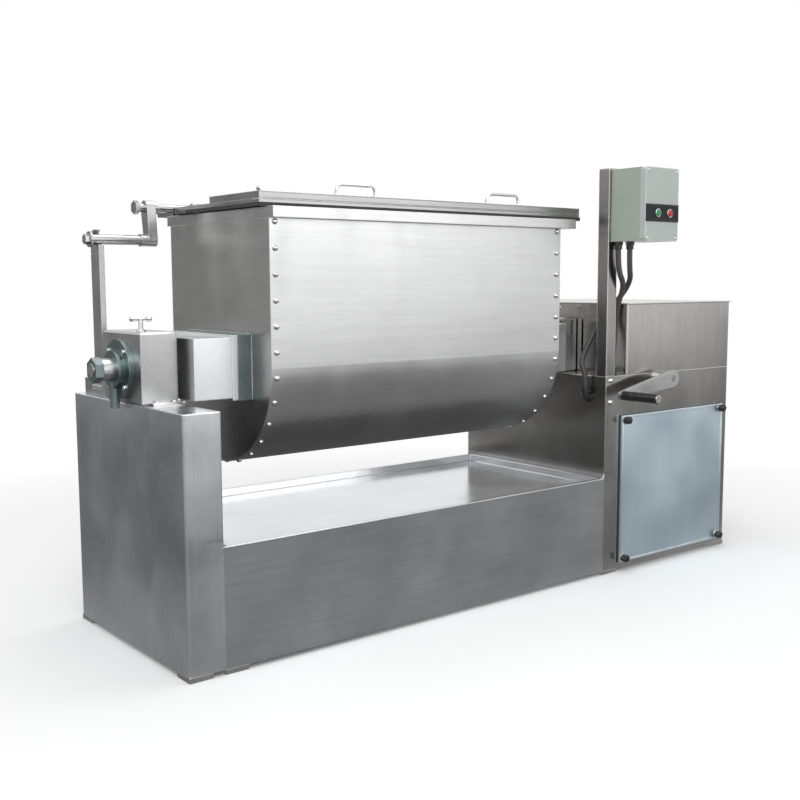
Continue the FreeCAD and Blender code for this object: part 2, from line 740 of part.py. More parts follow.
def build_rim():
    """The square bar round the top of the tank, longer at the drive end."""
    base_z = f"{RIM_TOP} - dim.rim_height"
    outer = block(
        "rim_outside", "dim.tank_start", f"{TANK_FRONT} - dim.rim_width", base_z,
        "dim.tank_length + dim.rim_tail", "2 * (dim.trough_radius + dim.rim_width)",
        "dim.rim_height",
    )
    inner = block(
        "rim_inside", "dim.tank_start + dim.rim_width", f"{TANK_FRONT} + dim.tank_wall",
        f"{base_z} - 1",
        "dim.tank_length - 2 * dim.rim_width",
        "2 * (dim.trough_radius - dim.tank_wall)", "dim.rim_height + 2",
    )
    keep("tank_rim", cut("tank_rim", outer, inner))


# Mixing shaft


def build_shaft():
    """The mixing shaft through both journals, its nut, and the paddles on their arms."""
    start = -size("collar_start") + 22
    end = level(PULLEY_X) + size("pulley_width") / 2 + 8
    radius = size("shaft_radius")
    at = corner(start, axis_y(), level(AXIS_Z))
    shaft = Part.makeCylinder(radius, end - start, at, Vector(1, 0, 0))
    neck = Part.makeCylinder(
        radius * 0.6, size("collar_start"), corner(-size("collar_start"), axis_y(), level(AXIS_Z)),
        Vector(1, 0, 0),
    )
    solid("mixing_shaft", shaft.fuse(neck).removeSplitter())
    nut = turned(
        hexagon(size("collar_radius") * 1.12, 20), Vector(1, 0, 0),
        corner(-size("collar_start") + 2, axis_y(), level(AXIS_Z)),
    )
    bore = Part.makeCylinder(
        radius * 0.6, 40, corner(-size("collar_start") - 4, axis_y(), level(AXIS_Z)),
        Vector(1, 0, 0),
    )
    solid("shaft_nut", nut.cut(bore))


def paddle(position, angle):
    """One arm with its hub and a blade set at a slant, made about the shaft axis."""
    shaft = size("shaft_radius")
    tip = size("paddle_sweep")
    blade = size("paddle_blade")
    width = size("paddle_width")
    depth = 0.34 * tip
    hub = Part.makeCylinder(shaft + 14, 2.6 * size("paddle_arm"), Vector(-1.3 * size("paddle_arm"), 0, 0), Vector(1, 0, 0))
    arm = Part.makeCylinder(size("paddle_arm"), tip - depth - 8, Vector(), Vector(0, 0, 1))
    plate = Part.makeBox(width, blade, depth, Vector(-width / 2, -blade / 2, tip - depth - 20))
    plate.rotate(Vector(), Vector(0, 0, 1), 35)
    limit = Part.makeCylinder(tip, 2 * width, Vector(-width, 0, 0), Vector(1, 0, 0))
    bore = Part.makeCylinder(shaft, 4 * width, Vector(-2 * width, 0, 0), Vector(1, 0, 0))
    shape = hub.fuse([arm, plate]).common(limit).cut(bore)
    shape.rotate(Vector(), Vector(1, 0, 0), angle)
    shape.translate(corner(position, axis_y(), level(AXIS_Z)))
    return shape


def build_paddles():
    count = int(size("paddle_count"))
    room = size("tank_length") - 2 * size("end_plate")
    pitch = room / count
    first = size("tank_start") + size("end_plate") + pitch / 2
    arms = [paddle(first + k * pitch, size("paddle_step") * k) for k in range(count)]
    solid("paddles", Part.makeCompound(arms))


# Lid


def lid_stations():
    """Left faces of the hinge lugs along the lid shaft."""
    first = size("tank_start") + 2 * size("lug_thickness")
    last = size("tank_start") + size("tank_length") + size("rim_tail") - 4 * size("lug_thickness")
    return [first + k * (last - first) / 3 for k in range(4)]


def hinge_y():
    return axis_y() + size("trough_radius") - size("hinge_inset")


def hinge_lugs(width, grow, reach):
    """The bosses that carry the lid shaft, with the arms that stand on the rim."""
    shapes = []
    radius = size("lug_radius") + grow
    rim = level(RIM_TOP)
    height = size("lid_height") - size("lid_gauge")
    for x in lid_stations():
        left = x - grow
        boss = Part.makeCylinder(
            radius, width + 2 * grow, corner(left, hinge_y(), level(HINGE_Z)), Vector(1, 0, 0)
        )
        if reach > 0:
            arm = Part.makeBox(width, reach, height, corner(x, hinge_y(), rim))
            boss = boss.fuse(arm)
        shapes.append(boss)
    return shapes


def lid_knuckles():
    """The bosses clamped on the lid shaft, with the leaves that lie on the lid."""
    shapes = []
    thick = size("lug_thickness")
    top = level(RIM_TOP) + size("lid_gap") + size("lid_height")
    for x in lid_stations():
        left = x + thick + size("lug_gap")
        at = corner(left, hinge_y(), level(HINGE_Z))
        boss = Part.makeCylinder(size("lug_radius"), thick, at, Vector(1, 0, 0))
        leaf = Part.makeBox(
            thick, size("leaf_length"), size("leaf_height"),
            corner(left, hinge_y() - size("leaf_length"), top),
        )
        shapes.append(boss.fuse(leaf))
    return shapes


def along_shaft(radius):
    start = size("tank_start") - size("lid_shaft_end")
    end = size("tank_start") + size("tank_length") + size("lid_right")
    at = corner(start, hinge_y(), level(HINGE_Z))
    return Part.makeCylinder(radius, end - start, at, Vector(1, 0, 0))


def sheet_strips(sheet, gauge, opening):
    """A folded sheet as its flat strips: the top beside an opening, then the four folds."""
    whole = sheet.BoundBox
    left, right, front, back = opening
    under = whole.ZMax - gauge
    inner_x = (whole.XMin + gauge, whole.XMax - gauge)
    inner_y = (whole.YMin + gauge, whole.YMax - gauge)
    top = (under, whole.ZMax)
    fold = (whole.ZMin, under)
    all_x = (whole.XMin, whole.XMax)
    regions = [
        (all_x, (whole.YMin, front), top),
        (all_x, (back, whole.YMax), top),
        ((whole.XMin, left), (front, back), top),
        ((right, whole.XMax), (front, back), top),
        (all_x, (whole.YMin, inner_y[0]), fold),
        (all_x, (inner_y[1], whole.YMax), fold),
        ((whole.XMin, inner_x[0]), inner_y, fold),
        ((inner_x[1], whole.XMax), inner_y, fold),
    ]
    strips = []
    for (x0, x1), (y0, y1), (z0, z1) in regions:
        if x1 > x0 and y1 > y0:
            region = Part.makeBox(x1 - x0, y1 - y0, z1 - z0, Vector(x0, y0, z0))
            strips += sheet.common(region).Solids
    return strips


def build_lid():
    """The folded lid with its feed opening, cleared round the hinge bosses."""
    body = new_body("lid_sheet", piece=False)
    outline = new_sketch(body, "XY_Plane", "lid_outline")
    depth = f"({HINGE_Y} - dim.lid_back - {LID_FRONT})"
    rectangle(outline, "0", "0", LID_LENGTH, depth)
    pad(body, outline, "dim.lid_height")
    hollow = new_sketch(body, "XY_Plane", "lid_hollow")
    rectangle(
        hollow, "dim.lid_gauge", "dim.lid_gauge",
        f"{LID_LENGTH} - 2 * dim.lid_gauge", f"{depth} - 2 * dim.lid_gauge",
    )
    pocket(body, hollow, "dim.lid_height - dim.lid_gauge", back=True)
    feed = new_sketch(body, "XY_Plane", "lid_feed")
    rectangle(
        feed, "dim.feed_inset", "dim.feed_border",
        f"dim.tank_length - 2 * dim.feed_inset", "dim.flap_depth - 2 * dim.feed_border",
    )
    pocket(body, feed, "dim.lid_height + 1", back=True)
    place(body, LID_START, LID_FRONT, LID_BOTTOM)
    doc.recompute()
    clearance = Part.makeCompound(hinge_lugs(size("lug_thickness"), 1, 0))
    knuckles = Part.makeCompound([k for k in lid_knuckles()])
    panel = body.Shape.cut(clearance).cut(knuckles)
    left = panel.BoundBox.XMin + size("feed_inset")
    front = panel.BoundBox.YMin + size("feed_border")
    right = left + size("tank_length") - 2 * size("feed_inset")
    back = front + size("flap_depth") - 2 * size("feed_border")
    strips = sheet_strips(panel, size("lid_gauge"), (left, right, front, back))
    solid("lid_panel", Part.makeCompound(strips))


def build_lid_hinge():
    """Lugs on the rim, the shaft through them, and the knuckles that hold the lid."""
    thick = size("lug_thickness")
    reach = size("hinge_inset") + size("rim_width")
    running = along_shaft(size("lid_shaft_radius") + size("running_gap"))
    lugs = Part.makeCompound([lug.cut(running) for lug in hinge_lugs(thick, 0, reach)])
    solid("hinge_lugs", lugs)
    shaft = along_shaft(size("lid_shaft_radius"))
    knuckles = Part.makeCompound([k.cut(shaft) for k in lid_knuckles()])
    solid("lid_knuckles", knuckles)
    start = size("tank_start") - size("lid_shaft_end")
    nut = turned(
        hexagon(size("lid_shaft_radius") + 7, 11), Vector(-1, 0, 0),
        corner(start + 1, hinge_y(), level(HINGE_Z)),
    )
    solid("lid_shaft", shaft.fuse(nut))


def build_back_strip():
    """The fixed cover behind the lid, resting on the rim."""
    strip = new_body("back_strip_sheet", piece=False)
    outline = new_sketch(strip, "XY_Plane", "strip_outline")
    start = f"({HINGE_Y} + dim.lug_radius + dim.lug_gap / 2)"
    depth = f"({TANK_BACK} + dim.cover_back - {start})"
    length = "(dim.tank_length + dim.rim_tail)"
    rectangle(outline, "0", "0", length, depth)
    pad(strip, outline, "dim.lid_height")
    hollow = new_sketch(strip, "XY_Plane", "strip_hollow")
    rectangle(
        hollow, "dim.lid_gauge", "dim.lid_gauge",
        f"{length} - 2 * dim.lid_gauge", f"{depth} - 2 * dim.lid_gauge",
    )
    pocket(strip, hollow, "dim.lid_height - dim.lid_gauge", back=True)
    place(strip, "dim.tank_start", start, RIM_TOP)
    doc.recompute()
    reach = size("hinge_inset") + size("rim_width")
    lugs = Part.makeCompound(hinge_lugs(size("lug_thickness"), 0, reach))
    solid("back_cover_strip", strip.Shape.cut(lugs))


def build_lid_arm():
    """The arm at the left end of the lid shaft and the rod it carries."""
    thick = size("arm_thickness")
    x = size("tank_start") - size("arm_reach") - thick / 2
    width = size("arm_width")
    top = corner(x, hinge_y(), level(HINGE_Z))
    low = corner(x, hinge_y() - size("rod_back"), level(HINGE_Z) - size("arm_length"))
    along = Vector(1, 0, 0)
    bar = hull_plate((top.y, top.z, width / 2), (low.y, low.z, width / 2 - 3))
    bar = bar.extrude(Vector(thick, 0, 0))
    bar.translate(Vector(top.x, 0, 0))
    boss = Part.makeCylinder(width / 2 - 3, thick, Vector(low.x - thick + 4, low.y, low.z), along)
    collar = Part.makeCylinder(width / 2 - 2, 12, Vector(top.x + thick, top.y, top.z), along)
    tip = size("rod_tip")
    rod_at = corner(tip, low.y + size("foot_inset"), low.z)
    rod = Part.makeCylinder(size("rod_radius"), low.x + thick - rod_at.x, rod_at, along)
    shaft = along_shaft(size("lid_shaft_radius"))
    solid("lid_arm", bar.fuse([boss, collar]).cut(shaft).cut(rod))
    washer = Part.makeCylinder(size("rod_radius") + 7, 4, rod_at - Vector(4, 0, 0), along)
    head = turned(hexagon(size("rod_radius"), 12), Vector(-1, 0, 0), rod_at - Vector(4, 0, 0))
    solid("rest_rod", Part.makeCompound([rod, washer, head]))


def hull_plate(first, second):
    """A face in the YZ plane: two circles joined by their outer tangents."""
    (y1, z1, r1), (y2, z2, r2) = first, second
    span = math.hypot(y2 - y1, z2 - z1)
    heading = math.atan2(z2 - z1, y2 - y1)
    spread = math.acos((r1 - r2) / span)
    normal = Vector(1, 0, 0)

    def point(y, z, r, angle):
        return Vector(0, y + r * math.cos(angle), z + r * math.sin(angle))

    a1 = point(y1, z1, r1, heading + spread)
    b1 = point(y2, z2, r2, heading + spread)
    a2 = point(y1, z1, r1, heading - spread)
    b2 = point(y2, z2, r2, heading - spread)
    far = point(y2, z2, r2, heading)
    near = point(y1, z1, r1, heading + math.pi)
    edges = [
        Part.LineSegment(a1, b1).toShape(),
        Part.Arc(b1, far, b2).toShape(),
        Part.LineSegment(b2, a2).toShape(),
        Part.Arc(a2, near, a1).toShape(),
    ]
    face = Part.Face(Part.Wire(edges))
    return face if face.normalAt(0, 0).dot(normal) > 0 else face.reversed()


# Feed flap


def flap_axis():
    """Height and depth of the flap hinge pin."""
    top = level(RIM_TOP) + size("lid_gap") + size("lid_height")
    back = axis_y() - size("trough_radius") + size("lid_setback") + size("flap_depth")
    return back + size("flap_knuckle_radius") + 0.5, top + size("flap_knuckle_radius") + 0.5


def flap_hinges():
    """Left ends of the three flap hinges."""
    first = size("tank_start") + size("flap_hinge_length")
    last = size("tank_start") + size("tank_length") - 2 * size("flap_hinge_length")
    return [first, (first + last) / 2, last]


def build_flap():
    """The folded feed flap with its half of the hinges."""
    body = new_body("flap_sheet", piece=False)
    outline = new_sketch(body, "XY_Plane", "flap_outline")
    rectangle(outline, "0", "0", LID_LENGTH, "dim.flap_depth")
    pad(body, outline, "dim.flap_height")
    hollow = new_sketch(body, "XY_Plane", "flap_hollow")
    rectangle(
        hollow, "dim.lid_gauge", "dim.lid_gauge",
        f"{LID_LENGTH} - 2 * dim.lid_gauge", "dim.flap_depth - 2 * dim.lid_gauge",
    )
    pocket(body, hollow, "dim.flap_height - dim.lid_gauge", back=True)
    place(body, LID_START, LID_FRONT, f"{LID_TOP} + dim.seat_gap")
    doc.recompute()
    depth, height = flap_axis()
    third = size("flap_hinge_length") / 3
    radius = size("flap_knuckle_radius")
    pin_hole = size("flap_pin_radius") + size("running_gap")
    knuckles = []
    pins = []
    for x in flap_hinges():
        middle = corner(x + third, depth, height)
        barrel = Part.makeCylinder(radius, third - 0.6, middle + Vector(0.3, 0, 0), Vector(1, 0, 0))
        web = Part.makeBox(
            third - 0.6, radius + 0.5, radius,
            corner(x + third + 0.3, depth - radius - 0.5, height - radius / 2),
        )
        bore = Part.makeCylinder(pin_hole, third + 2, middle - Vector(1, 0, 0), Vector(1, 0, 0))
        knuckles.append(barrel.fuse(web).cut(bore))
        for side in (0, 2):
            left = corner(x + side * third, depth, height)
            outer = Part.makeCylinder(radius, third, left, Vector(1, 0, 0))
            leaf = Part.makeBox(
                third, 3 * radius, 3,
                corner(x + side * third, depth, height - radius - 0.5),
            )
            pins.append(outer.fuse(leaf))
        pins.append(Part.makeCylinder(
            size("flap_pin_radius"), size("flap_hinge_length"), corner(x, depth, height),
            Vector(1, 0, 0),
        ))
    joined = [
        pins[3 * k].fuse([pins[3 * k + 1], pins[3 * k + 2]]) for k in range(len(flap_hinges()))
    ]
    solid("flap_hinge_leaves", Part.makeCompound(joined))
    welded = [knuckle.cut(body.Shape) for knuckle in knuckles]
    edge = body.Shape.BoundBox
    middle = (edge.XMin + edge.XMax) / 2
    closed = (middle, middle, edge.YMax, edge.YMax)
    strips = sheet_strips(body.Shape, size("lid_gauge"), closed)
    solid("feed_flap", Part.makeCompound(strips + welded))


def bent_bar(points, radius, bend):
    """A round bar along straight runs joined by tangent arcs, and its worked out length."""
    pieces_of_path = []
    length = 0.0
    start = points[0]
    for k in range(1, len(points) - 1):
        before = points[k] - points[k - 1]
        after = points[k + 1] - points[k]
        turn = before.getAngle(after)
        shorter = min(before.Length, after.Length)
        arc_radius = bend if bend else 0.45 * shorter / math.tan(turn / 2)
        setback = arc_radius * math.tan(turn / 2)
        into = Vector(before).normalize()
        out = Vector(after).normalize()
        first = points[k] - into * setback
        last = points[k] + out * setback
        bisector = (out - into).normalize()
        centre = points[k] + bisector * (arc_radius / math.cos(turn / 2))
        middle = centre - bisector * arc_radius
        if (first - start).Length > 1e-6:
            pieces_of_path.append(Part.LineSegment(start, first).toShape())
            length += (first - start).Length
        pieces_of_path.append(Part.Arc(first, middle, last).toShape())
        length += arc_radius * turn
        start = last
    pieces_of_path.append(Part.LineSegment(start, points[-1]).toShape())
    length += (points[-1] - start).Length
    direction = Vector(points[1] - points[0]).normalize()
    ring = Part.Wire(Part.makeCircle(radius, points[0], direction))
    swept = Part.Wire(pieces_of_path).makePipeShell([ring], True, True)
    return swept, length


def build_handles():
    """Two bow handles near the front edge of the flap."""
    top = (
        level(RIM_TOP) + size("lid_gap") + size("lid_height") + size("seat_gap")
        + size("flap_height")
    )
    front = axis_y() - size("trough_radius") + size("lid_setback") + size("handle_inset")
    start = size("tank_start") - size("lid_left")
    rise = size("handle_rise") - size("handle_bar") / 2
    half = size("handle_span") / 2
    bows = []
    for place_at in ("handle_first", "handle_second"):
        x = start + size(place_at)
        route = [
            corner(x - half, front, top),
            corner(x - half, front, top + rise),
            corner(x + half, front, top + rise),
            corner(x + half, front, top),
        ]
        bow, length = bent_bar(route, size("handle_bar") / 2, 1.8 * size("handle_bar"))
        pads = [
            Part.makeCylinder(size("handle_bar"), 3, corner(x + side * half, front, top))
            for side in (-1, 1)
        ]
        bows.append(bow.fuse(pads))
    solid("flap_handles", Part.makeCompound(bows))


# Stay


def build_stay():
    """The bar on the left pedestal and its head, an open hook that holds the rest rod."""
    x = size("stay_start")
    width = size("stay_width")
    thick = size("stay_thickness")
    rod_y = hinge_y() - size("rod_back")
    middle = rod_y + size("stay_shift")
    foot_top = size("pedestal_height")
    rod_z = level(HINGE_Z) - size("arm_length")
    neck = rod_z - size("hook_depth")
    bar = Part.makeBox(thick, width, neck - foot_top, corner(x, middle - width / 2, foot_top))
    solid("stay_bar", bar)
    gap = size("rod_radius") + size("seat_gap")
    seat = corner(x, rod_y, rod_z)
    reach = 2 * width
    crown = Part.makeCylinder(width / 2, thick, corner(x, middle, rod_z), Vector(1, 0, 0))
    jaw = Part.makeBox(
        thick, width, rod_z - gap - neck, corner(x, middle - width / 2, neck)
    )
    back = Part.makeBox(thick, reach, 2 * gap, seat + Vector(0, gap, -gap)).common(crown)
    slope = [(gap, gap), (reach, gap), (reach, reach), (2 * gap - reach, reach)]
    outline = [seat + Vector(0, y, z) for y, z in slope]
    prism = Part.Face(Part.makePolygon(outline + outline[:1])).extrude(Vector(thick, 0, 0))
    solid("stay_hook", Part.makeCompound([jaw, back, prism.common(crown)]))
    length = size("stay_foot_length")
    gauge = 2 * size("gauge")
    start = corner(x - gauge, middle - length / 2, foot_top)
    flat = Part.makeBox(size("stay_foot_reach"), length, gauge, start)
    leg = Part.makeBox(gauge, length, size("stay_foot_height"), start)
    solid("stay_foot", flat.fuse(leg).cut(bar))


# Drive pedestal fittings


def build_access_cover():
    """The cover on the front of the drive pedestal and its four knobs."""
    body = new_body("access_cover")
    outline = new_sketch(body, "XZ_Plane", "access_outline")
    rectangle(outline, "0", "0", "dim.access_width", "dim.access_height")
    plate = pad(body, outline, "dim.access_thickness")
    hollow = new_sketch(body, "XZ_Plane", "access_hollow")
    rectangle(
        hollow, "dim.lid_gauge", "dim.lid_gauge",
        "dim.access_width - 2 * dim.lid_gauge", "dim.access_height - 2 * dim.lid_gauge",
    )
    doc.recompute()
    chamfered(body, plate, "dim.lid_gauge", front_edge(-size("access_thickness")))
    pocket(body, hollow, "dim.access_thickness - dim.lid_gauge", back=True)
    place(body, ACCESS_START, "0", "dim.access_bottom")
    start = size("drive_start") + size("access_start")
    inset = size("knob_inset")
    front = -size("access_thickness")
    radius = size("knob_radius")
    length = size("knob_length")
    knobs = []
    for x in (start + inset, start + size("access_width") - inset):
        for z in (
            size("access_bottom") + inset, size("access_bottom") + size("access_height") - inset
        ):
            at = corner(x, front, z)
            out = Vector(0, -1, 0)
            collar = Part.makeCylinder(radius * 0.62, length * 0.4, at, out)
            grip = Part.makeCylinder(radius, length * 0.6, at + out * (length * 0.4), out)
            knobs.append(collar.fuse(grip))
    solid("cover_knobs", Part.makeCompound(knobs))


def front_edge(depth):
    """Tests for edges that lie in the plane of a front face."""
    return lambda edge: all(abs(v.Point.y - depth) < 1e-6 for v in edge.Vertexes)


def build_post():
    """The square post, its bolts in the pedestal front, and the stay bolts."""
    side = "dim.post_size"
    outside = block(
        "post_outside", "dim.drive_start", "0", "dim.pedestal_height",
        side, side, f"{POST_TOP} - dim.pedestal_height",
    )
    inside = block(
        "post_inside", "dim.drive_start + dim.gauge", "dim.gauge",
        "dim.pedestal_height - 1", f"{side} - 2 * dim.gauge", f"{side} - 2 * dim.gauge",
        f"{POST_TOP} - dim.pedestal_height - dim.gauge + 1",
    )
    keep("control_post", cut("control_post_tube", outside, inside))
    head = hexagon(size("bolt_radius"), size("bolt_head"))
    bolts = []
    for z in (size("pedestal_height") - 2 * size("bolt_radius"), size("pedestal_height") - 79):
        at = corner(size("drive_start") + size("post_size") * 0.64, 0, z)
        bolts.append(turned(head, Vector(0, -1, 0), at))
    x = size("stay_start") - 2 * size("gauge")
    for step in (-1, 1):
        at = corner(
            x, hinge_y() - size("rod_back") + size("stay_shift") + step * size("stay_width") / 3.4,
            size("pedestal_height") + size("stay_foot_height") / 2,
        )
        bolts.append(turned(head, Vector(-1, 0, 0), at))
    solid("fixing_bolts", Part.makeCompound(bolts))


def build_control_box():
    """The box on the post, its rounded cover, the dark strip and two push buttons."""
    sheet = "dim.lid_gauge"
    shell = new_body("control_box")
    outline = new_sketch(shell, "XZ_Plane", "box_outline")
    rectangle(outline, "0", "0", "dim.enclosure_width", "dim.enclosure_height")
    pad(shell, outline, "dim.enclosure_depth")
    hollow = new_sketch(shell, "XZ_Plane", "box_hollow")
    rectangle(
        hollow, sheet, sheet,
        f"dim.enclosure_width - 2 * {sheet}", f"dim.enclosure_height - 2 * {sheet}",
    )
    hollow.AttachmentOffset = Placement(Vector(0, 0, 2), Rotation())
    hollow.setExpression("AttachmentOffset.Base.z", sheet)
    pocket(shell, hollow, "dim.enclosure_depth", back=True)
    place(shell, ENCLOSURE_START, "0", BOX_BOTTOM)

    cover = new_body("control_box_cover_sheet", piece=False)
    outline = new_sketch(cover, "XZ_Plane", "cover_face")
    rectangle(outline, "0", "0", "dim.enclosure_width", "dim.enclosure_height")
    plate = pad(cover, outline, "dim.enclosure_cover")
    doc.recompute()
    round_feature = rounded(
        cover, plate, "dim.enclosure_corner",
        lambda e: abs(e.Length - size("enclosure_cover")) < 1e-6,
    )
    doc.recompute()
    back_hollow = new_sketch(cover, "XZ_Plane", "cover_hollow")
    wall = f"2 * {sheet}"
    rectangle(
        back_hollow, wall, wall,
        f"dim.enclosure_width - 2 * {wall}", f"dim.enclosure_height - 2 * {wall}",
    )
    pocket(cover, back_hollow, f"dim.enclosure_cover - {wall}", back=True)
    cover.setExpression("Placement.Base.x", f"{ENCLOSURE_START} - dim.foot_inset")
    cover.setExpression("Placement.Base.y", "0 - dim.enclosure_depth - dim.foot_inset")
    cover.setExpression("Placement.Base.z", BOX_BOTTOM)
    doc.recompute()
    start = size("drive_start") + size("enclosure_offset")
    front = -(size("enclosure_depth") + size("enclosure_cover"))
    low = level(BOX_BOTTOM) + size("keypad_rise")
    middle = low + size("keypad_height") / 2
    strip = Part.makeBox(
        size("enclosure_width"), size("keypad_thickness"), size("keypad_height"),
        corner(start, front - size("keypad_thickness"), low),
    )
    radius = size("button_radius")
    travel = size("button_travel")
    inward = Vector(0, 1, 0)
    face = front - size("keypad_thickness") - 2 * travel
    holes = []
    for share, node in ((0.36, "start_button"), (0.72, "stop_button")):
        x = start + share * size("enclosure_width")
        at = corner(x, face, middle)
        length = 2 * travel + size("keypad_thickness") + 2 * size("lid_gauge") + travel
        cap = Part.makeCylinder(radius, length, at, inward)
        edge = cap.Edges[2] if cap.Edges[2].Curve.Center.y < at.y + 1 else cap.Edges[0]
        solid(node, cap.makeFillet(1.5, [edge]))
        holes.append(Part.makeCylinder(radius + size("seat_gap"), 4 * length, at - inward * length, inward))
    solid("keypad_strip", strip.cut(holes))
    solid("control_box_cover", cover.Shape.cut(holes))


# Cables


def gland_places():
    """The two cable entries below the control box: beside the post and further out."""
    near = (size("drive_start") + size("gland_near_x"), -size("gland_near_y"))
    far = (size("drive_start") + size("gland_far_x"), -size("gland_far_y"))
    return [near, far]


def fitting(at, direction, length):
    """A cable gland: a hexagon and the slimmer ring, whose end face meets the conduit."""
    radius = size("gland_radius")
    nut = turned(hexagon(radius, length * 0.45), direction, at)
    ring = Part.makeCylinder(radius * 0.84, length, at, direction)
    return nut.fuse(ring)


def near_route():
    """The conduit that runs down beside the post to the ledge."""
    x, y = gland_places()[0]
    under = level(BOX_BOTTOM) - size("gland_length")
    over = size("pedestal_height") + size("gland_length")
    side = size("drive_start") + size("post_size") + size("conduit_radius") + 12
    return [
        corner(x, y, under),
        corner(x, y, under - 60),
        corner(side, y + 1, under - 105),
        corner(side + 2, 14, under - 165),
        corner(side + 1, 20, under - 270),
        corner(side - 2, 24, over + 40),
        corner(side - 2, 24, over),
    ]


def far_route():
    """The conduit that passes behind the post to the elbow on the pedestal side."""
    x, y = gland_places()[1]
    under = level(BOX_BOTTOM) - size("gland_length")
    elbow_x = size("drive_start") - size("elbow_reach")
    elbow_top = level(ELBOW_Z) + size("elbow_reach") + size("elbow_collar")
    return [
        corner(x, y, under),
        corner(x, y, under - 50),
        corner(x + 30, y + 18, under - 95),
        corner(x + 28, y + 74, under - 160),
        corner(x - 6, y + 104, under - 215),
        corner(x - 44, y + 112, under - 275),
        corner(elbow_x + 2, size("elbow_y") + 22, under - 335),
        corner(elbow_x, size("elbow_y"), elbow_top + 45),
        corner(elbow_x, size("elbow_y"), elbow_top),
    ]


def build_cables():
    fittings = []
    length = size("gland_length")
    down = Vector(0, 0, -1)
    for x, y in gland_places():
        fittings.append(fitting(corner(x, y, level(BOX_BOTTOM)), down, length))
    ledge_end = near_route()[-1]
    fittings.append(fitting(
        Vector(ledge_end.x, ledge_end.y, size("pedestal_height")), Vector(0, 0, 1), length
    ))
    solid("cable_glands", Part.makeCompound(fittings))
    reach = size("elbow_reach")
    radius = size("gland_radius") * 0.84
    wall = corner(size("drive_start"), size("elbow_y"), level(ELBOW_Z))
    bend, bend_length = bent_bar(
        [wall, wall - Vector(reach, 0, 0), wall + Vector(-reach, 0, reach + 4)], radius, radius + 4
    )
    plate = turned(hexagon(size("gland_radius") + 2, 5), Vector(-1, 0, 0), wall)
    far_end = far_route()[-1]
    height = size("elbow_collar")
    collar = Part.makeCylinder(size("gland_radius"), height, far_end - Vector(0, 0, height))
    solid("wall_elbow", bend.fuse([plate, collar]))
    for node, route in (("conduit_near", near_route()), ("conduit_far", far_route())):
        tube_shape, run = bent_bar(route, size("conduit_radius"), 0)
        solid(node, tube_shape)


# Tilt drive


def build_tilt_drive():
    """Worm wheel on the trunnion, worm on the crank shaft, its boss and bracket."""
    thick = size("wheel_thickness")
    tip = level(AXIS_Z) - level(CRANK_Z) - size("worm_radius") - 2 * size("seat_gap")
    root = tip - size("tooth_height")
    teeth = int(size("wheel_teeth"))
    at = corner(level(CRANK_X) - thick / 2, axis_y(), level(AXIS_Z))
    corners = []
    for k in range(teeth):
        for share, radius in ((0.0, root), (0.18, tip), (0.5, tip), (0.68, root)):
            angle = 2 * math.pi * (k + share) / teeth
            corners.append(Vector(0, radius * math.cos(angle), radius * math.sin(angle)))
    corners.append(corners[0])
    wheel = Part.Face(Part.makePolygon(corners)).extrude(Vector(thick, 0, 0))
    wheel.translate(at)
    bore = Part.makeCylinder(size("journal_radius"), 3 * thick, at - Vector(thick, 0, 0), Vector(1, 0, 0))
    solid("worm_wheel", wheel.cut(bore))

    radius = size("crank_shaft_radius")
    back = axis_y() + size("worm_length") / 2 + 2 * size("worm_bracket")
    front = -(size("crank_standoff") + size("crank_thickness"))
    inward = Vector(0, 1, 0)
    start = corner(level(CRANK_X), front, level(CRANK_Z))
    shaft = Part.makeCylinder(radius, back - front, start, inward)
    core_at = corner(level(CRANK_X), axis_y() - size("worm_length") / 2, level(CRANK_Z))
    core = Part.makeCylinder(size("worm_radius") * 0.74, size("worm_length"), core_at, inward)
    turns = int(size("worm_turns"))
    pitch = size("worm_length") / turns
    rings = [
        Part.makeCylinder(
            size("worm_radius"), pitch * 0.45, core_at + inward * (pitch * (k + 0.25)), inward
        )
        for k in range(turns)
    ]
    solid("crank_shaft", shaft.fuse([core] + rings))

    running = Part.makeCylinder(radius + size("running_gap"), back - front, start, inward)
    boss = Part.makeCylinder(
        radius + 11, 14, corner(level(CRANK_X), -14, level(CRANK_Z)), inward
    )
    spigot = Part.makeCylinder(
        radius + 2, 10, corner(level(CRANK_X), 0, level(CRANK_Z)), inward
    )
    front_bearing = boss.fuse(spigot).cut(running)
    bracket_top = size("pedestal_height") - size("gauge")
    low = level(CRANK_Z) - 2.4 * radius
    left = size("drive_start") + size("gauge")
    bracket = Part.makeBox(
        level(CRANK_X) + 3 * radius - left, size("worm_bracket"), bracket_top - low,
        corner(left, axis_y() + size("worm_length") / 2 + size("worm_bracket"), low),
    )
    solid("crank_bearings", Part.makeCompound([front_bearing, bracket.cut(running)]))


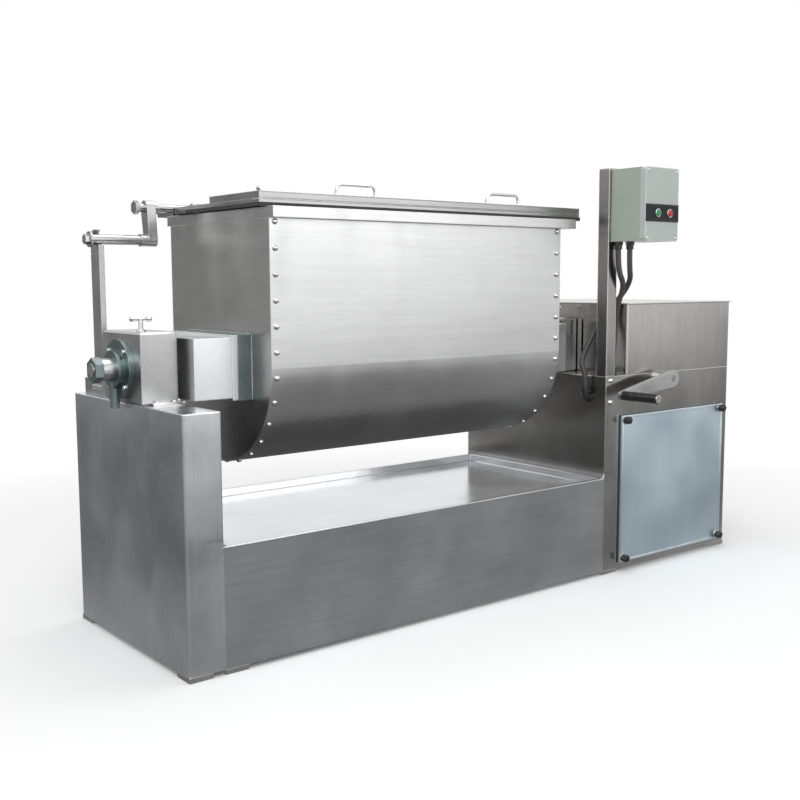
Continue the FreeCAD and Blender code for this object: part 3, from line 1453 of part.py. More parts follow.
def build_crank():
    """The wedge shaped arm and the grip that turns on it."""
    droop = math.radians(size("crank_droop"))
    length = size("crank_length")
    pivot = (level(CRANK_X) - size("foot_inset"), level(CRANK_Z))
    tip = (pivot[0] - length * math.cos(droop), pivot[1] - length * math.sin(droop))
    plate = hull_plate(
        (pivot[0], pivot[1], size("crank_hub_radius")), (tip[0], tip[1], size("crank_tip_radius"))
    )
    thick = size("crank_thickness")
    arm = plate.extrude(Vector(thick, 0, 0))
    arm.Placement = Placement(Vector(), Rotation(Vector(0, 0, 1), -90))
    arm = arm.copy()
    box = arm.BoundBox
    front = -(size("crank_standoff") + thick) - size("foot_inset")
    arm.translate(Vector(0, front - box.YMin, 0))
    outward = Vector(0, -1, 0)
    shaft = Part.makeCylinder(
        size("crank_shaft_radius"), 4 * thick, Vector(pivot[0], front - thick, pivot[1]),
        Vector(0, 1, 0),
    )
    pin_radius = size("grip_radius") * 0.5
    grip = size("grip_length")
    start = Vector(tip[0], front, tip[1])
    pin = Part.makeCylinder(pin_radius, grip + 4, start, outward)
    stop = Part.makeCylinder(pin_radius * 1.7, 4, start + outward * (grip + 1), outward)
    solid("crank_arm", arm.cut(shaft).fuse([pin, stop]))
    cover = Part.makeCylinder(size("grip_radius"), grip, start + outward * 0.4, outward)
    bore = Part.makeCylinder(
        pin_radius + size("running_gap"), 2 * grip, start - outward * grip / 2, outward
    )
    sleeve = cover.cut(bore)
    solid("crank_grip", sleeve)


# Mixing drive


def stadium(x, radius_top, radius_low, width):
    """The outline of a belt round two pulleys, as a solid."""
    face = hull_plate(
        (axis_y() - size("foot_inset"), level(AXIS_Z), radius_top),
        (axis_y() - size("foot_inset"), level(MOTOR_Z), radius_low),
    )
    shape = face.extrude(Vector(width, 0, 0))
    shape.translate(Vector(x - size("foot_inset"), 0, 0))
    return shape


def build_mixing_drive():
    """Pulleys, belt and motor inside the drive pedestal."""
    width = size("pulley_width")
    left = level(PULLEY_X) - width / 2
    along = Vector(1, 0, 0)
    upper = size("shaft_pulley_radius")
    lower = size("motor_pulley_radius")
    for node, z, radius, bore_radius in (
        ("shaft_pulley", level(AXIS_Z), upper, size("shaft_radius")),
        ("motor_pulley", level(MOTOR_Z), lower, size("motor_shaft_radius")),
    ):
        at = corner(left, axis_y(), z)
        disc = Part.makeCylinder(radius, width, at, along)
        bore = Part.makeCylinder(bore_radius, 2 * width, at - along * width / 2, along)
        if node == "shaft_pulley":
            web = Part.makeCylinder(radius * 0.84, width, at + along * (width * 0.65), along)
            hub = Part.makeCylinder(radius * 0.4, width, at, along)
            disc = disc.cut(web).fuse(hub)
        solid(node, disc.cut(bore))
    thick = size("belt_height")
    gap = size("seat_gap")
    outside = stadium(left + 4, upper + thick, lower + thick, width - 8)
    inside = stadium(left, upper + gap, lower + gap, width)
    solid("drive_belt", outside.cut(inside))

    motor_end = left - 20
    at = corner(motor_end - size("motor_length"), axis_y(), level(MOTOR_Z))
    frame = Part.makeCylinder(size("motor_radius"), size("motor_length"), at, along)
    nose = Part.makeCylinder(size("motor_radius") * 0.5, 10, at + along * size("motor_length"), along)
    shelf_top = level(MOTOR_Z) - size("motor_radius") - 10
    foot = Part.makeBox(
        size("motor_length") * 0.66, size("motor_radius") * 1.5, size("motor_radius") * 0.5,
        corner(
            motor_end - size("motor_length") * 0.83, axis_y() - size("motor_radius") * 0.75,
            shelf_top,
        ),
    )
    shaft_room = Part.makeCylinder(
        size("motor_shaft_radius") + size("running_gap"), 2 * size("motor_length"),
        corner(motor_end - 60, axis_y(), level(MOTOR_Z)), along,
    )
    solid("main_motor", frame.fuse([nose, foot]).cut(shaft_room))
    shaft = Part.makeCylinder(
        size("motor_shaft_radius"), 60 + 20 + width,
        corner(motor_end - 59, axis_y(), level(MOTOR_Z)), along,
    )
    solid("motor_shaft", shaft)
    inner = size("drive_start") + size("gauge")
    shelf = Part.makeBox(
        size("base_length") - size("gauge") - inner,
        size("base_depth") - 2 * size("gauge"), 2 * size("gauge"),
        corner(inner, size("gauge"), shelf_top - 2 * size("gauge")),
    )
    solid("motor_shelf", shelf)


def write_parts():
    doc.recompute()
    os.makedirs("parts", exist_ok=True)
    for item in doc.Objects:
        if "Invalid" in item.State or "Error" in item.State:
            raise SystemExit(f"{item.Label} did not build: {item.State}")
    for node, item in pieces.items():
        if item.Shape.isNull() or not item.Shape.isValid() or not item.Shape.Solids:
            raise SystemExit(f"{node} has no valid solid")
    for node, item in pieces.items():
        item.Shape.exportStep(f"parts/{node}.step")
    print("pieces", len(pieces), "solids", sum(len(i.Shape.Solids) for i in pieces.values()))


build_base()
build_feet()
build_case()
build_bearings()
build_tank()
build_rim()
build_shaft()
build_paddles()
build_lid()
build_lid_hinge()
build_back_strip()
build_lid_arm()
build_flap()
build_handles()
build_stay()
build_access_cover()
build_post()
build_control_box()
build_cables()
build_tilt_drive()
build_crank()
build_mixing_drive()
write_parts()
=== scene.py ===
# %% [markdown]
# ## Dough mixer
# A tilting trough mixer of brushed stainless sheet: a U shaped trough hangs by two trunnions
# between a left pedestal and a drive pedestal, over a drip tray. The solids come from the packed
# model. Here they get their finishes, and the small parts that would be wasteful as solids:
# screws, welds, star knobs, the bezel of the control box and the like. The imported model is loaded
# first, because every other piece is placed from its boxes.

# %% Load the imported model
import json
import math

import bmesh
import bpy
from mathutils import Matrix, Vector

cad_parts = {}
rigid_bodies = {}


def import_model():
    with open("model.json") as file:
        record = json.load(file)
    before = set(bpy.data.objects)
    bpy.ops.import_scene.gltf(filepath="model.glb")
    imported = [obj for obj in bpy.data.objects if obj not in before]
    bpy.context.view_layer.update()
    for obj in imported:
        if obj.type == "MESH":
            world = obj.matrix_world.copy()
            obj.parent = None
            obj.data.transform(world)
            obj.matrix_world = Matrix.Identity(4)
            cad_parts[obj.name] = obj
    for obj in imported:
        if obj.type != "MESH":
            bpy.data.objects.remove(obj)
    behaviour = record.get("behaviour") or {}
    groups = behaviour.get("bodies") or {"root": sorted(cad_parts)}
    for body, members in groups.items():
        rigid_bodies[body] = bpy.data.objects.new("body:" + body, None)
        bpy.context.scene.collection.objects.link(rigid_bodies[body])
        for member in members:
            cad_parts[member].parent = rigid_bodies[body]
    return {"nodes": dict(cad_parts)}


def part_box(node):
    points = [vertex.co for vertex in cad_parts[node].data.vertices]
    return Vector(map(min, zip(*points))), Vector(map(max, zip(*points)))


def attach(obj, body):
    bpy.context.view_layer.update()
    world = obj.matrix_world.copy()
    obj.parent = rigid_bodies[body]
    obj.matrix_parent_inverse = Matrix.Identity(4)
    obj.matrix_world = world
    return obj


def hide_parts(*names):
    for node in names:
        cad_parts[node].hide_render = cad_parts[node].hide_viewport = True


for leftover in list(bpy.data.objects):
    bpy.data.objects.remove(leftover)
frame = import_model()
nodes = frame["nodes"]
bpy.context.scene.view_settings.view_transform = "Standard"
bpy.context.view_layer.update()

# %% [markdown]
# ## Places in millimetres
# The drawings of the mixer measure from the outer front left corner of the base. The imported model
# has its origin 30 mm further in, below the foot, and works in metres. Each place could be worked
# out in metres by hand. One helper that turns a drawing place into a place in the model lets the
# numbers below be read as plain millimetres, and it can't be forgotten for one piece.

# %% Places and boxes
FOOT_INSET = 30


def place(x, y, z):
    """A drawing place in millimetres as a place in the model in metres."""
    return Vector(((x - FOOT_INSET) / 1000, (y - FOOT_INSET) / 1000, z / 1000))


def box_mm(node):
    """Lowest and highest corner of a node in drawing millimetres."""
    low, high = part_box(node)
    inset = Vector((FOOT_INSET, FOOT_INSET, 0))
    return low * 1000 + inset, high * 1000 + inset


print("trough box, mm:", [round(v) for corner in box_mm("trough") for v in corner])

# %% [markdown]
# ## Effects that several finishes share
# Rolled and brushed sheet has fine scratches along one direction, a cloudy variation where hands
# and cloths have been, and folds whose edges catch the light. Pictures of steel could show this,
# but they tile and blur; noise stays sharp at any distance. Each effect is used by many finishes,
# so each is one node group with its own inputs, built once. The noise works in object
# coordinates, which are true to size and stay with the piece when it moves.

# %% Node helpers
def new_group(name, inputs, outputs):
    """An empty node group with its sockets: the group, its entry and its exit."""
    group = bpy.data.node_groups.new(name, "ShaderNodeTree")
    for label, kind, value in inputs:
        socket = group.interface.new_socket(label, in_out="INPUT", socket_type=kind)
        socket.default_value = value
    for label, kind in outputs:
        group.interface.new_socket(label, in_out="OUTPUT", socket_type=kind)
    entry = group.nodes.new("NodeGroupInput")
    done = group.nodes.new("NodeGroupOutput")
    return group, entry, done


def add(tree, kind, **values):
    """Adds a node; a value that names a socket is put on that socket."""
    made = tree.nodes.new(kind)
    for name, value in values.items():
        label = name.replace("_", " ").title()
        if label in made.inputs:
            made.inputs[label].default_value = value
        else:
            setattr(made, name, value)
    return made


def multiply(tree, factor, kind="MULTIPLY"):
    """A number times a fixed factor; as MULTIPLY_ADD it takes one more number to add."""
    made = add(tree, "ShaderNodeMath", operation=kind)
    made.inputs[1].default_value = factor
    return made


def join(tree, source, target):
    tree.links.new(source, target)


print("node helpers ready")


# %% Brushed grain
def build_brushed_grain():
    """Fine scratches: noise squeezed across the stroke and drawn out along it."""
    group, entry, done = new_group(
        "brushed grain",
        [("Stretch", "NodeSocketVector", (1, 1, 1)), ("Scale", "NodeSocketFloat", 900.0)],
        [("Shade", "NodeSocketFloat"), ("Height", "NodeSocketFloat")],
    )
    where = add(group, "ShaderNodeTexCoord")
    drawn = add(group, "ShaderNodeVectorMath", operation="MULTIPLY")
    fine = add(group, "ShaderNodeTexNoise", detail=3.0, roughness=0.6)
    broad = add(group, "ShaderNodeTexNoise", detail=2.0, roughness=0.5)
    slower = multiply(group, 0.16)
    half = multiply(group, 0.4)
    both = multiply(group, 0.6, "MULTIPLY_ADD")
    join(group, where.outputs["Object"], drawn.inputs[0])
    join(group, entry.outputs["Stretch"], drawn.inputs[1])
    join(group, drawn.outputs[0], fine.inputs["Vector"])
    join(group, drawn.outputs[0], broad.inputs["Vector"])
    join(group, entry.outputs["Scale"], fine.inputs["Scale"])
    join(group, entry.outputs["Scale"], slower.inputs[0])
    join(group, slower.outputs[0], broad.inputs["Scale"])
    join(group, broad.outputs["Fac"], half.inputs[0])
    join(group, fine.outputs["Fac"], both.inputs[0])
    join(group, half.outputs[0], both.inputs[2])
    join(group, both.outputs[0], done.inputs["Shade"])
    join(group, fine.outputs["Fac"], done.inputs["Height"])
    return group


GRAIN = build_brushed_grain()
print("brushed grain nodes:", len(GRAIN.nodes))


# %% Cloudy handling marks
def build_handling_marks():
    """Broad soft clouds and a few smears, where sheet was wiped, leaned on and splashed."""
    group, entry, done = new_group(
        "handling marks",
        [("Scale", "NodeSocketFloat", 5.0), ("Smear", "NodeSocketVector", (1, 1, 0.35))],
        [("Clouds", "NodeSocketFloat"), ("Smears", "NodeSocketFloat")],
    )
    where = add(group, "ShaderNodeTexCoord")
    clouds = add(group, "ShaderNodeTexNoise", detail=3.0, roughness=0.5, distortion=0.2)
    pulled = add(group, "ShaderNodeVectorMath", operation="MULTIPLY")
    smears = add(group, "ShaderNodeTexNoise", detail=2.0, roughness=0.5)
    faster = multiply(group, 2.6)
    cut = add(
        group, "ShaderNodeMapRange", from_min=0.54, from_max=0.84, interpolation_type="SMOOTHSTEP"
    )
    join(group, where.outputs["Object"], clouds.inputs["Vector"])
    join(group, entry.outputs["Scale"], clouds.inputs["Scale"])
    join(group, where.outputs["Object"], pulled.inputs[0])
    join(group, entry.outputs["Smear"], pulled.inputs[1])
    join(group, pulled.outputs[0], smears.inputs["Vector"])
    join(group, entry.outputs["Scale"], faster.inputs[0])
    join(group, faster.outputs[0], smears.inputs["Scale"])
    join(group, smears.outputs["Fac"], cut.inputs["Value"])
    join(group, clouds.outputs["Fac"], done.inputs["Clouds"])
    join(group, cut.outputs["Result"], done.inputs["Smears"])
    return group


MARKS = build_handling_marks()
print("handling marks nodes:", len(MARKS.nodes))


# %% Fold edges
def build_fold_edges():
    """Rounds hard edges in the shading, so that folds catch the light, and finds them as the mask
    of a painted edge highlight.
    """
    group, entry, done = new_group(
        "fold edges",
        [
            ("Radius", "NodeSocketFloat", 0.002),
            ("Height", "NodeSocketFloat", 0.5),
            ("Strength", "NodeSocketFloat", 0.1),
            ("Distance", "NodeSocketFloat", 0.001),
        ],
        [("Normal", "NodeSocketVector"), ("Edge", "NodeSocketFloat")],
    )
    fold = add(group, "ShaderNodeBevel", samples=4)
    grooves = add(group, "ShaderNodeBump")
    flat = add(group, "ShaderNodeNewGeometry")
    along = add(group, "ShaderNodeVectorMath", operation="DOT_PRODUCT")
    edge = add(group, "ShaderNodeMapRange", from_min=0.995, from_max=0.86)
    join(group, entry.outputs["Radius"], fold.inputs["Radius"])
    join(group, fold.outputs["Normal"], grooves.inputs["Normal"])
    for label in ("Height", "Strength", "Distance"):
        join(group, entry.outputs[label], grooves.inputs[label])
    join(group, fold.outputs["Normal"], along.inputs[0])
    join(group, flat.outputs["Normal"], along.inputs[1])
    join(group, along.outputs["Value"], edge.inputs["Value"])
    join(group, grooves.outputs["Normal"], done.inputs["Normal"])
    join(group, edge.outputs["Result"], done.inputs["Edge"])
    return group


FOLDS = build_fold_edges()
print("fold edges nodes:", len(FOLDS.nodes))

# %% [markdown]
# ## Finishes
# Sheet, machined steel, paint, plastic and rubber could each get their own node tree. They differ
# less than it seems, so one recipe makes them all: two tones mixed by the grain and the clouds,
# roughness that varies with them, and a painted highlight that makes edges a little brighter.
# Only the numbers differ.
# The strokes of brushed sheet follow the long side of each real sheet. Tray, lid, pedestals and the
# other sheets are one stainless steel with a finish each, and their tones are painted light and
# shade: each sheet is set lighter or darker to how bright it reads where it stands.

# %% The recipe's tone and roughness
TONE_RANGE = {"from_min": 0.36, "from_max": 0.66}
ROUGH_RANGE = {"from_min": 0.3, "from_max": 0.7}
CLOUD_SHARE = 0.5


def mixed_tone(tree, scratches, marks, folds, dark, light, edge_highlight_gain):
    """From dark to light by scratches and clouds, with a painted highlight that brightens the
    colour where a fold is.
    """
    share = add(tree, "ShaderNodeMix", data_type="FLOAT", factor=CLOUD_SHARE)
    spreader = add(tree, "ShaderNodeMapRange", **TONE_RANGE)
    tone = add(tree, "ShaderNodeMix", data_type="RGBA", a=(*dark, 1), b=(*light, 1))
    # Painted highlight: the light tone brightened by the edge highlight gain, laid on at folds.
    bright = [min(1, c * (1 + edge_highlight_gain)) for c in light]
    painted_highlight_mix = add(tree, "ShaderNodeMix", data_type="RGBA", b=(*bright, 1))
    join(tree, scratches.outputs["Shade"], share.inputs["A"])
    join(tree, marks.outputs["Clouds"], share.inputs["B"])
    join(tree, share.outputs["Result"], spreader.inputs["Value"])
    join(tree, spreader.outputs["Result"], tone.inputs["Factor"])
    join(tree, tone.outputs["Result"], painted_highlight_mix.inputs["A"])
    join(tree, folds.outputs["Edge"], painted_highlight_mix.inputs["Factor"])
    return painted_highlight_mix.outputs["Result"]


def mixed_roughness(tree, marks, rough, spread):
    """Roughness that swings by the spread with the clouds and rises in the smears."""
    rougher = add(
        tree, "ShaderNodeMapRange", **ROUGH_RANGE, to_min=rough - spread, to_max=rough + spread
    )
    smeared = multiply(tree, spread, "MULTIPLY_ADD")
    join(tree, marks.outputs["Clouds"], rougher.inputs["Value"])
    join(tree, marks.outputs["Smears"], smeared.inputs[0])
    join(tree, rougher.outputs["Result"], smeared.inputs[2])
    return smeared.outputs[0]


print("tone and roughness parts of the recipe are ready")


# %% The recipe
SCRATCH_DEPTH = 0.0008
COAT_ROUGHNESS = 0.12


def finish(name, dark, light, rough, metallic, stretch=(1, 1, 1), grain=900.0, bump=0.06,
           clouds=5.0, edge_radius=0.0015, edge_highlight_gain=0.25, spread=0.08, coat=0.0):
    """A material between two tones; stretch says along which axis its strokes run."""
    material = bpy.data.materials.new(name)
    material.use_nodes = True
    tree = material.node_tree
    shader = tree.nodes["Principled BSDF"]
    shader.inputs["Metallic"].default_value = metallic
    if coat:
        shader.inputs["Coat Weight"].default_value = coat
        shader.inputs["Coat Roughness"].default_value = COAT_ROUGHNESS
    scratches = add(tree, "ShaderNodeGroup", node_tree=GRAIN, stretch=stretch, scale=grain)
    marks = add(tree, "ShaderNodeGroup", node_tree=MARKS, scale=clouds)
    folds = add(
        tree, "ShaderNodeGroup", node_tree=FOLDS, radius=edge_radius, strength=bump,
        distance=SCRATCH_DEPTH,
    )
    tone = mixed_tone(tree, scratches, marks, folds, dark, light, edge_highlight_gain)
    join(tree, tone, shader.inputs["Base Color"])
    join(tree, mixed_roughness(tree, marks, rough, spread), shader.inputs["Roughness"])
    join(tree, scratches.outputs["Height"], folds.inputs["Height"])
    join(tree, folds.outputs["Normal"], shader.inputs["Normal"])
    return material


def grey(value, warmth=0.0):
    """A grey, a little warm above zero and a little cool below it."""
    return (value * (1 + warmth), value, value * (1 - warmth))


print("a warm grey:", grey(0.5, 0.02))

# %% Stainless finishes
ALONG = (0.035, 1, 1)
UPRIGHT = (1, 1, 0.035)
DEEP = (1, 0.035, 1)
# Painted light and shade: one stainless steel, each part's tones set lighter or darker to how
# bright it reads.
LID_SHEET = finish(
    "lid sheet, strokes along", grey(0.29), grey(0.41), 0.26, 1, ALONG, clouds=6.0,
    edge_radius=0.0025, edge_highlight_gain=0.5,
)
TRAY_SHEET = finish(
    "tray sheet, nearly mirror bright", grey(0.62, -0.02), grey(0.8, -0.03), 0.17, 1, ALONG,
    bump=0.025, spread=0.05, edge_radius=0.004, edge_highlight_gain=0.5,
)
RIM_SHEET = finish("rim bar", grey(0.48), grey(0.62), 0.27, 1, ALONG, edge_radius=0.0025)
LEFT_SHEET = finish(
    "left pedestal sheet", grey(0.64, -0.025), grey(0.84, -0.035), 0.28, 1, UPRIGHT,
    edge_radius=0.005, edge_highlight_gain=0.5,
)
DRIVE_SHEET = finish(
    "drive end sheet", grey(0.41, 0.02), grey(0.55, 0.015), 0.2, 1, UPRIGHT, spread=0.05,
    edge_radius=0.004, edge_highlight_gain=0.4,
)
SHEET_DEEP = finish(
    "end plate, strokes front to back", grey(0.46, 0.01), grey(0.6, 0.01), 0.3, 1, DEEP,
    bump=0.03,
)
TRUNNION_SHEET = finish(
    "trunnion box sheet", grey(0.72, -0.01), grey(0.9, -0.015), 0.33, 1, DEEP, bump=0.03,
    edge_radius=0.003,
)
TROUGH_SHEET = finish(
    "trough sheet", grey(0.5), grey(0.66, -0.005), 0.32, 1, ALONG, bump=0.04, clouds=3.0
)
COVER_SHEET = finish(
    "access cover sheet", (0.68, 0.85, 0.97), (0.82, 0.95, 1.0), 0.35, 1, UPRIGHT, clouds=4.0,
    grain=500.0, edge_radius=0.004, spread=0.06,
)
# Its strong painted edge highlight brightens the post's edges.
POST_SHEET = finish(
    "post tube", grey(0.28, 0.04), grey(0.4, 0.04), 0.22, 1, UPRIGHT, edge_radius=0.0045,
    edge_highlight_gain=1.0,
)
CASTING = finish(
    "ground stainless casting", grey(0.42), grey(0.55), 0.33, 1, grain=420.0, bump=0.14,
    clouds=9.0,
)
print("stainless finishes:", len(bpy.data.materials))

# %% Machined and plated metals
TURNED = finish("turned steel", grey(0.4), grey(0.56), 0.24, 1, UPRIGHT, grain=1600.0, bump=0.09)
# Its dark tone also serves as painted shade on the trunnion collars.
TEAL_STEEL_AND_SHADE = finish(
    "blued cover steel", (0.17, 0.22, 0.22), (0.27, 0.32, 0.32), 0.36, 1, grain=500.0, clouds=14.0
)
ARM_STEEL = finish(
    "ground arm steel", grey(0.55), grey(0.7), 0.3, 1, ALONG, grain=600.0, bump=0.08
)
BRIGHT = finish(
    "polished plating", grey(0.66), grey(0.78), 0.1, 1, grain=300.0, bump=0.02, spread=0.04
)
BRONZE = finish("bearing bronze", (0.5, 0.33, 0.13), (0.66, 0.46, 0.2), 0.3, 1, grain=700.0)
IRON = finish("cast iron", grey(0.13), grey(0.2), 0.55, 0.8, grain=260.0, bump=0.3, clouds=16.0)
WELD = finish(
    "weld bead", (0.3, 0.29, 0.27), (0.5, 0.49, 0.47), 0.36, 1, grain=160.0, bump=0.5, clouds=30.0
)
print("metals in all:", len(bpy.data.materials))

# %% Paint, plastic and rubber
MOTOR_PAINT = finish(
    "motor paint", (0.12, 0.19, 0.27), (0.17, 0.25, 0.33), 0.4, 0, grain=200.0, bump=0.16, coat=0.2
)
SHELF_PAINT = finish("shelf paint", grey(0.25), grey(0.33), 0.45, 0, grain=220.0, bump=0.14)
BELT_RUBBER = finish("belt rubber", grey(0.02), grey(0.045), 0.7, 0, ALONG, grain=500.0, bump=0.3)
CONDUIT_SKIN = finish(
    "conduit skin", grey(0.03), grey(0.07), 0.42, 0, (1, 1, 8), grain=55.0, bump=0.35, clouds=12.0
)
BLACK_PLASTIC = finish("black plastic", grey(0.01), grey(0.024), 0.24, 0, grain=1400.0, bump=0.12)
BOX_PAINT = finish(
    "grey green enamel", (0.29, 0.34, 0.28), (0.35, 0.4, 0.34), 0.36, 0, grain=240.0, bump=0.1,
    coat=0.15,
)
# The wide painted edge highlight whitens the whole thin side of the cover.
COVER_PAINT = finish(
    "pale grey enamel", (0.38, 0.42, 0.4), (0.44, 0.48, 0.46), 0.34, 0, grain=240.0, bump=0.08,
    coat=0.15, edge_radius=0.005, edge_highlight_gain=0.8,
)
GREEN_CAP = finish("green button", (0.02, 0.22, 0.07), (0.03, 0.3, 0.1), 0.25, 0, bump=0.02)
RED_CAP = finish("red button", (0.4, 0.02, 0.015), (0.52, 0.035, 0.025), 0.25, 0, bump=0.02)
GLASS_BLACK = finish(
    "display window", (0.008, 0.009, 0.012), (0.014, 0.016, 0.02), 0.3, 0, bump=0.01
)
GLASS_BLACK.node_tree.nodes["Principled BSDF"].inputs["Specular IOR Level"].default_value = 0.2
# Black of the real gaskets, and of the painted shade strip under the lid.
GASKET_AND_GAP_SHADE = finish("black gasket", grey(0.02), grey(0.04), 0.6, 0, bump=0.2, grain=400.0)
print("finishes in all:", len(bpy.data.materials))

# %% [markdown]
# ## Dress the solids
# Each solid gets the finish of the real part. The finish could be set beside each piece, but one
# table that lists the solids by finish lets a change be made in one place, and the check after it
# makes sure that no solid is left bare.

# %% Finishes for the solids
DRESS = {
    TRAY_SHEET: ["drip_tray"],
    LID_SHEET: ["lid_panel", "feed_flap", "back_cover_strip"],
    RIM_SHEET: ["tank_rim"],
    LEFT_SHEET: ["left_pedestal"],
    DRIVE_SHEET: ["drive_pedestal", "gear_case", "gear_case_cover"],
    POST_SHEET: ["control_post"],
    ARM_STEEL: ["crank_arm"],
    SHEET_DEEP: ["left_end_plate", "drive_end_plate"],
    TRUNNION_SHEET: ["left_trunnion_box", "drive_trunnion_box"],
    TROUGH_SHEET: ["trough"],
    COVER_SHEET: ["access_cover"],
    CASTING: ["left_bearing_block", "drive_bearing_block", "stay_bar", "stay_hook", "lid_arm",
              "lid_knuckles", "hinge_lugs", "stay_foot", "feet"],
    TURNED: ["left_journal", "drive_journal", "mixing_shaft", "paddles", "lid_shaft", "rest_rod",
             "flap_hinge_leaves", "crank_shaft", "motor_shaft", "crank_bearings"],
    TEAL_STEEL_AND_SHADE: ["bearing_cover", "shaft_nut"],
    BRIGHT: ["flap_handles", "fixing_bolts", "wing_screws"],
    BRONZE: ["left_bush", "drive_bush", "worm_wheel"],
    IRON: ["shaft_pulley", "motor_pulley"],
    MOTOR_PAINT: ["main_motor"],
    SHELF_PAINT: ["motor_shelf"],
    BELT_RUBBER: ["drive_belt"],
    CONDUIT_SKIN: ["conduit_near", "conduit_far"],
    BLACK_PLASTIC: ["cable_glands", "wall_elbow", "cover_knobs", "crank_grip"],
    GLASS_BLACK: ["keypad_strip"],
    BOX_PAINT: ["control_box"],
    COVER_PAINT: ["control_box_cover"],
    GREEN_CAP: ["start_button"],
    RED_CAP: ["stop_button"],
}
for material, names in DRESS.items():
    for name in names:
        nodes[name].data.materials.clear()
        nodes[name].data.materials.append(material)
dressed = {name for names in DRESS.values() for name in names}
print("solids without a finish:", sorted(set(nodes) - dressed))

# %% [markdown]
# ## Turned parts
# Screws, washers, bolts, collars and caps are all turned parts: a profile that goes round an axis.
# Primitive cylinders would need an edit each to get a crown or a chamfer. A list of rings, each a
# radius and a height, gives any such profile at once, and few sides make a hexagon head of it.
# Every extra part goes through one function that makes the object and ties it to its body.

# %% Make a piece
SHARP_ANGLE = math.radians(32)


def piece(name, mesh_builder, body, material, smooth=True, bevel=0.0):
    """Turns a mesh builder into a finished piece that rides a body."""
    mesh = bpy.data.meshes.new(name)
    shape = bmesh.new()
    mesh_builder(shape)
    bmesh.ops.recalc_face_normals(shape, faces=shape.faces)
    shape.to_mesh(mesh)
    shape.free()
    made = bpy.data.objects.new(name, mesh)
    bpy.context.scene.collection.objects.link(made)
    if bevel:
        edges = made.modifiers.new("soft edges", "BEVEL")
        edges.width = bevel
        edges.segments = 2
        edges.limit_method = "ANGLE"
    if smooth:
        for face in mesh.polygons:
            face.use_smooth = True
        mesh.set_sharp_from_angle(angle=SHARP_ANGLE)
    mesh.materials.append(material)
    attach(made, body)
    print(name, "faces:", len(mesh.polygons))
    return made


print("sharp above", round(math.degrees(SHARP_ANGLE)), "degrees")


# %% Turned profiles
def facing(direction, centre):
    """A matrix whose Z axis looks along the direction, standing at the centre."""
    turn = Vector(direction).to_track_quat("Z", "Y").to_matrix().to_4x4()
    return Matrix.Translation(centre) @ turn


def ring(shape, matrix, radius, height, sides, lobes=0, depth=0.0):
    """A loop of corners round the matrix's Z axis; lobes cut into it by the depth."""
    corners = []
    for k in range(sides):
        angle = 2 * math.pi * k / sides
        reach = radius - depth * (0.5 - 0.5 * math.cos(lobes * angle))
        corner = Vector((reach * math.cos(angle), reach * math.sin(angle), height))
        corners.append(shape.verts.new(matrix @ corner))
    return corners


def skin(shape, loops):
    """Joins loops of corners one after another and closes both ends."""
    for lower, upper in zip(loops, loops[1:]):
        for k in range(len(lower)):
            after = (k + 1) % len(lower)
            shape.faces.new((lower[k], lower[after], upper[after], upper[k]))
    shape.faces.new(list(reversed(loops[0])))
    shape.faces.new(loops[-1])


def turned_profile(shape, rings, matrix, sides=20):
    """A turned part from rings of (radius, height) in metres."""
    skin(shape, [ring(shape, matrix, radius, height, sides) for radius, height in rings])


print("turned profiles ready")

# %% [markdown]
# ## Screw rows on the trough
# The wrapper sheet is screwed to both end plates by rows of domed screws that run down the front,
# round the curved bottom and up the back. An array modifier could follow a curve, but it bends the
# heads with it. Here one turned profile is set along the U line at an even pitch. Walking the line
# by its length keeps the pitch the same on straight and curve.

# %% The line of the screws
SCREW_TOP = 1028
trough_low, trough_high = box_mm("trough")
bend = (trough_high.y - trough_low.y) / 2
bend_z = trough_low.z + bend
straight = SCREW_TOP - bend_z


def on_wrapper(run, x):
    """The place and outward direction after a run down the front of the trough."""
    curve = math.pi * bend
    middle_y = (trough_low.y + trough_high.y) / 2
    if run < straight:
        return place(x, trough_low.y, SCREW_TOP - run), (0, -1, 0)
    if run < straight + curve:
        angle = (run - straight) / bend
        out = (0, -math.cos(angle), -math.sin(angle))
        return place(x, middle_y + bend * out[1], bend_z + bend * out[2]), out
    return place(x, trough_high.y, bend_z + run - straight - curve), (0, 1, 0)


print("straight run, mm:", round(straight), "bend radius, mm:", round(bend))

# %% Screw rows
SCREW_PITCH = 61
SCREW_FROM_END = 15
SCREW_RINGS = [
    (0.0072, -0.0004), (0.0072, 0.0012), (0.0062, 0.0036), (0.0036, 0.005), (0.001, 0.0054)
]


def build_screw_rows(shape):
    count = int((2 * straight + math.pi * bend) / SCREW_PITCH)
    for x in (trough_low.x + SCREW_FROM_END, trough_high.x - SCREW_FROM_END):
        for k in range(count + 1):
            centre, out = on_wrapper(k * SCREW_PITCH, x)
            turned_profile(shape, SCREW_RINGS, facing(out, centre), sides=14)


piece("trough_screws", build_screw_rows, "tank", BRIGHT)

# %% [markdown]
# ## Weld beads
# Where the trunnion boxes meet the end plates and the post meets the pedestal, the real mixer has
# ground weld beads. A curve with a round bevel would be smoother than a bead is. A chain of
# overlapping flat domes is what a weld is, so the bead is built that way.

# %% Weld beads
BEAD_STEP = 5.0
BEAD_RINGS = [(0.0036, 0.0), (0.0033, 0.0012), (0.0018, 0.0022)]


def bead_chain(shape, corners, out):
    """Beads along a line through the corners, with their domes towards out."""
    for start, end in zip(corners, corners[1:]):
        count = max(2, int((end - start).length * 1000 / BEAD_STEP))
        for k in range(count + 1):
            matrix = facing(out, start.lerp(end, k / count))
            turned_profile(shape, BEAD_RINGS, matrix, sides=8)


